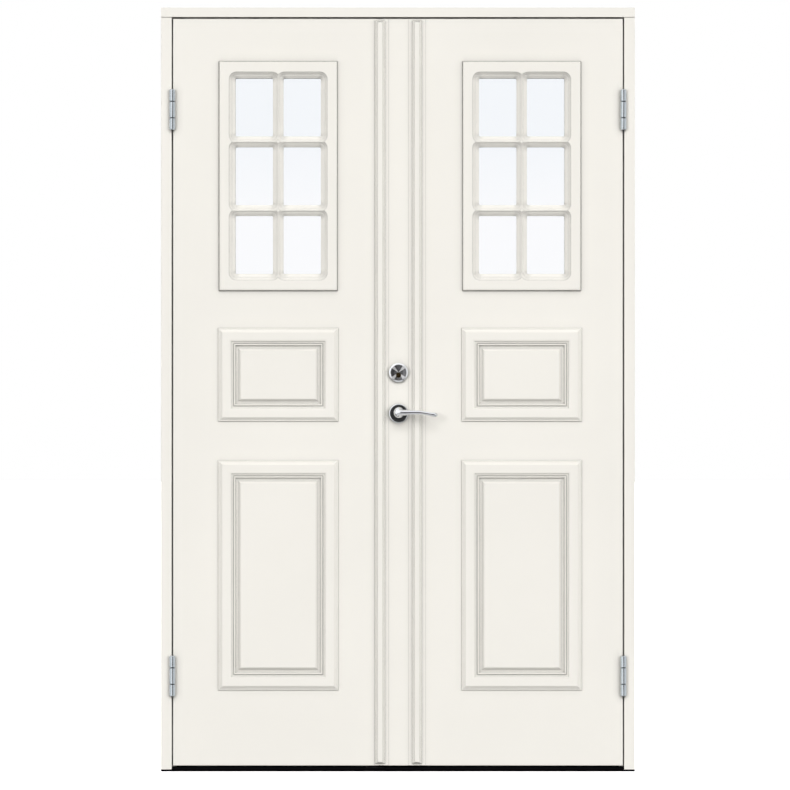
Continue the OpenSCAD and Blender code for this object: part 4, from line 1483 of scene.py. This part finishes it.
@dataclass
class Furniture:
    """The roses, the cylinder's ring and plug, the levers and the thumbturn."""

    def build(self) -> None:
        """Makes each in turn."""
        chrome = MATERIALS["handle_chrome"]
        rose = ((0, 5.2), (0.2, 6.1), (0.7, 7.0), (1.5, 7.6), (2.4, 7.9), (3.4, 8.0), (15.6, 8.0))
        rose_radius, turn_radius = 26.5, 26
        turn_rose = tuple((u * turn_radius / rose_radius, v) for u, v in rose)
        covers = (
            Turned("outer_rosette", rose_radius * MM, 9.7 * MM, rose, Face.OUTER),
            Turned("inner_rosette", rose_radius * MM, 9.7 * MM, rose, Face.INNER),
            Turned("thumbturn_rosette", turn_radius * MM, 7 * MM, turn_rose, Face.INNER),
        )
        for cover in covers:
            cover.build("right_leaf", "handle_chrome", chrome)
        self._ring()
        self._plug()
        Lever("outer_lever", Face.OUTER).build()
        Lever("inner_lever", Face.INNER).build()
        self._thumbturn()

    def _ring(self) -> None:
        """The ring round the cylinder, with a turned dish in its face, dark with painted highlight spokes."""
        low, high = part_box("cylinder_ring")
        middle = (low + high) / 2
        ring = (
            (0, 8.6), (0.3, 9.3), (4.2, 11.6), (4.7, 11.7), (5.0, 11.2), (5.4, 7.6), (6.0, 7.0), (13.0, 6.4),
            (15.0, 6.3),
        )
        # painted highlight: a dark dish tone with lighter spokes, standing in for reflections on turned metal
        turned = Finish(
            "turned_dish", (0.85, 0.85, 0.86), Pattern.TURNED, (0.26, 0.26, 0.27), (0.2, 0.48), 1.0,
            0.03 * MM, 700, centre=(middle.x, 0, middle.z),
        ).make()
        plug_low, plug_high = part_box("key_plug")
        drop = middle.z - (plug_low.z + plug_high.z) / 2
        made = Turned("cylinder_ring", 26 * MM, 6.9 * MM, ring, Face.OUTER, drop)
        made.build("right_leaf", "handle_chrome", MATERIALS["ring_chrome"])
        piece = bpy.data.objects["cylinder_ring_turned"]
        piece.data.materials.append(turned)
        # the dish's faces take the material with the painted highlight spokes
        dish = 21.9 * MM
        for face in piece.data.polygons:
            away = math.hypot(face.center.x - middle.x, face.center.z - middle.z)
            if away < dish and face.normal.y < -0.2:
                face.material_index = 1

    def _plug(self) -> None:
        """The key plug, with a chamfered face and a key slot."""
        low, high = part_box("key_plug")
        x, z = (low.x + high.x) / 2, (low.z + high.z) / 2
        piece = new_round("key_plug_milled", "Y", 6.5 * MM, (x, low.y + 18 * MM, z), -17.4 * MM, 64)
        with editing(piece):
            pick_faces(piece, lambda place, normal: normal.y < -STEEP)
            step_in([(u * MM, v * MM) for u, v in (
                (0, 0), (0.2, 0.35), (0.6, 0.5), (0.9, -3.5), (3.0, -3.5), (3.2, 0.2), (3.6, 0.6)
            )])
        wide, tall = 0.7 * MM, 2.4 * MM
        slot = new_block(
            "slot", (x - wide, low.y - 1 * MM, z - tall), (x + wide, low.y + 10 * MM, z + tall)
        )
        combine(piece, slot, "DIFFERENCE")
        smooth(piece, 30)
        dress(piece, "key_plug", MATERIALS["cylinder_brass"], ("key_plug",))

    def _thumbturn(self) -> None:
        """The thumbturn: a turned boss and a flat wing with soft edges."""
        low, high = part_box("thumbturn")
        x, z = (low.x + high.x) / 2, (low.z + high.z) / 2
        boss = high.y - 19.5 * MM
        piece = new_round("thumbturn_polished", "Y", 11 * MM, (x, boss, z), 5 * MM, 72)
        with editing(piece):
            pick_faces(piece, lambda place, normal: normal.y > STEEP)
            step_in([(0, 0), (0.3 * MM, 0.5 * MM), (1.0 * MM, 0.85 * MM), (2.2 * MM, 1.0 * MM)])
        wing = new_block(
            "wing", (x - 4 * MM, boss + 4 * MM, z - 16.5 * MM), (x + 4 * MM, high.y, z + 16.5 * MM)
        )
        with editing(wing, "EDGE"):
            pick_edges(wing, lambda a, b: abs(a.y - b.y) > 5 * MM)
            bpy.ops.mesh.bevel(offset=3.6 * MM, segments=6, affect="EDGES")
            pick_edges(wing, lambda a, b: min(a.y, b.y) > high.y - CLOSE)
            bpy.ops.mesh.bevel(offset=2.0 * MM, segments=4, affect="EDGES")
        combine(piece, wing, "UNION")
        shaft = new_round("shaft", "Y", 4 * MM, (x, boss + 1 * MM, z), -25 * MM, 48)
        combine(piece, shaft, "UNION")
        smooth(piece, 30)
        dress(piece, "thumbturn", MATERIALS["handle_chrome"], ("thumbturn",))


def dress_nodes() -> None:
    """Puts its finish on every node that still shows."""
    slots = {
        "frame_seal": "seal_rubber", "threshold_seal": "seal_rubber", "meeting_seal": "seal_rubber",
        "threshold_base_strip": "base_black", "hinge_pins": "hinge_zinc", "cylinder_body": "cylinder_brass",
    }
    endings = {
        "leaf_frame": "leaf_timber", "leaf_core": "core_board", "glass_panes": "window_glass",
        "glass_spacers": "spacer_metal", "glazing_seals": "seal_rubber",
    }
    for name, node in frame["nodes"].items():
        if node.hide_render:
            continue
        slot = slots.get(name) or next((s for end, s in endings.items() if name.endswith(end)), "lock_steel")
        node.data.materials.clear()
        node.data.materials.append(MATERIALS[slot])
        node.visible_shadow = slot != "window_glass"  # clear glass lets the light through
        LOG.info("%s: node kept, in %s", name, slot)


def main() -> None:
    """Builds the studio and the doors in order."""
    logging.basicConfig(level=logging.INFO, format="%(name)s: %(message)s")
    Studio().build()
    DoorFrame().build()
    for side in Side:
        Leaf(side).build()
        for row in Row:
            MouldedPanel(side, row).build()
        for face in Face:
            WindowGrid(side, face).build()
        Hinge(side).build()
    Bead("astragal", relieved=True).build()
    Bead("lock_stile_bead").build()
    Furniture().build()
    dress_nodes()


if __name__ == "__main__":
    main()
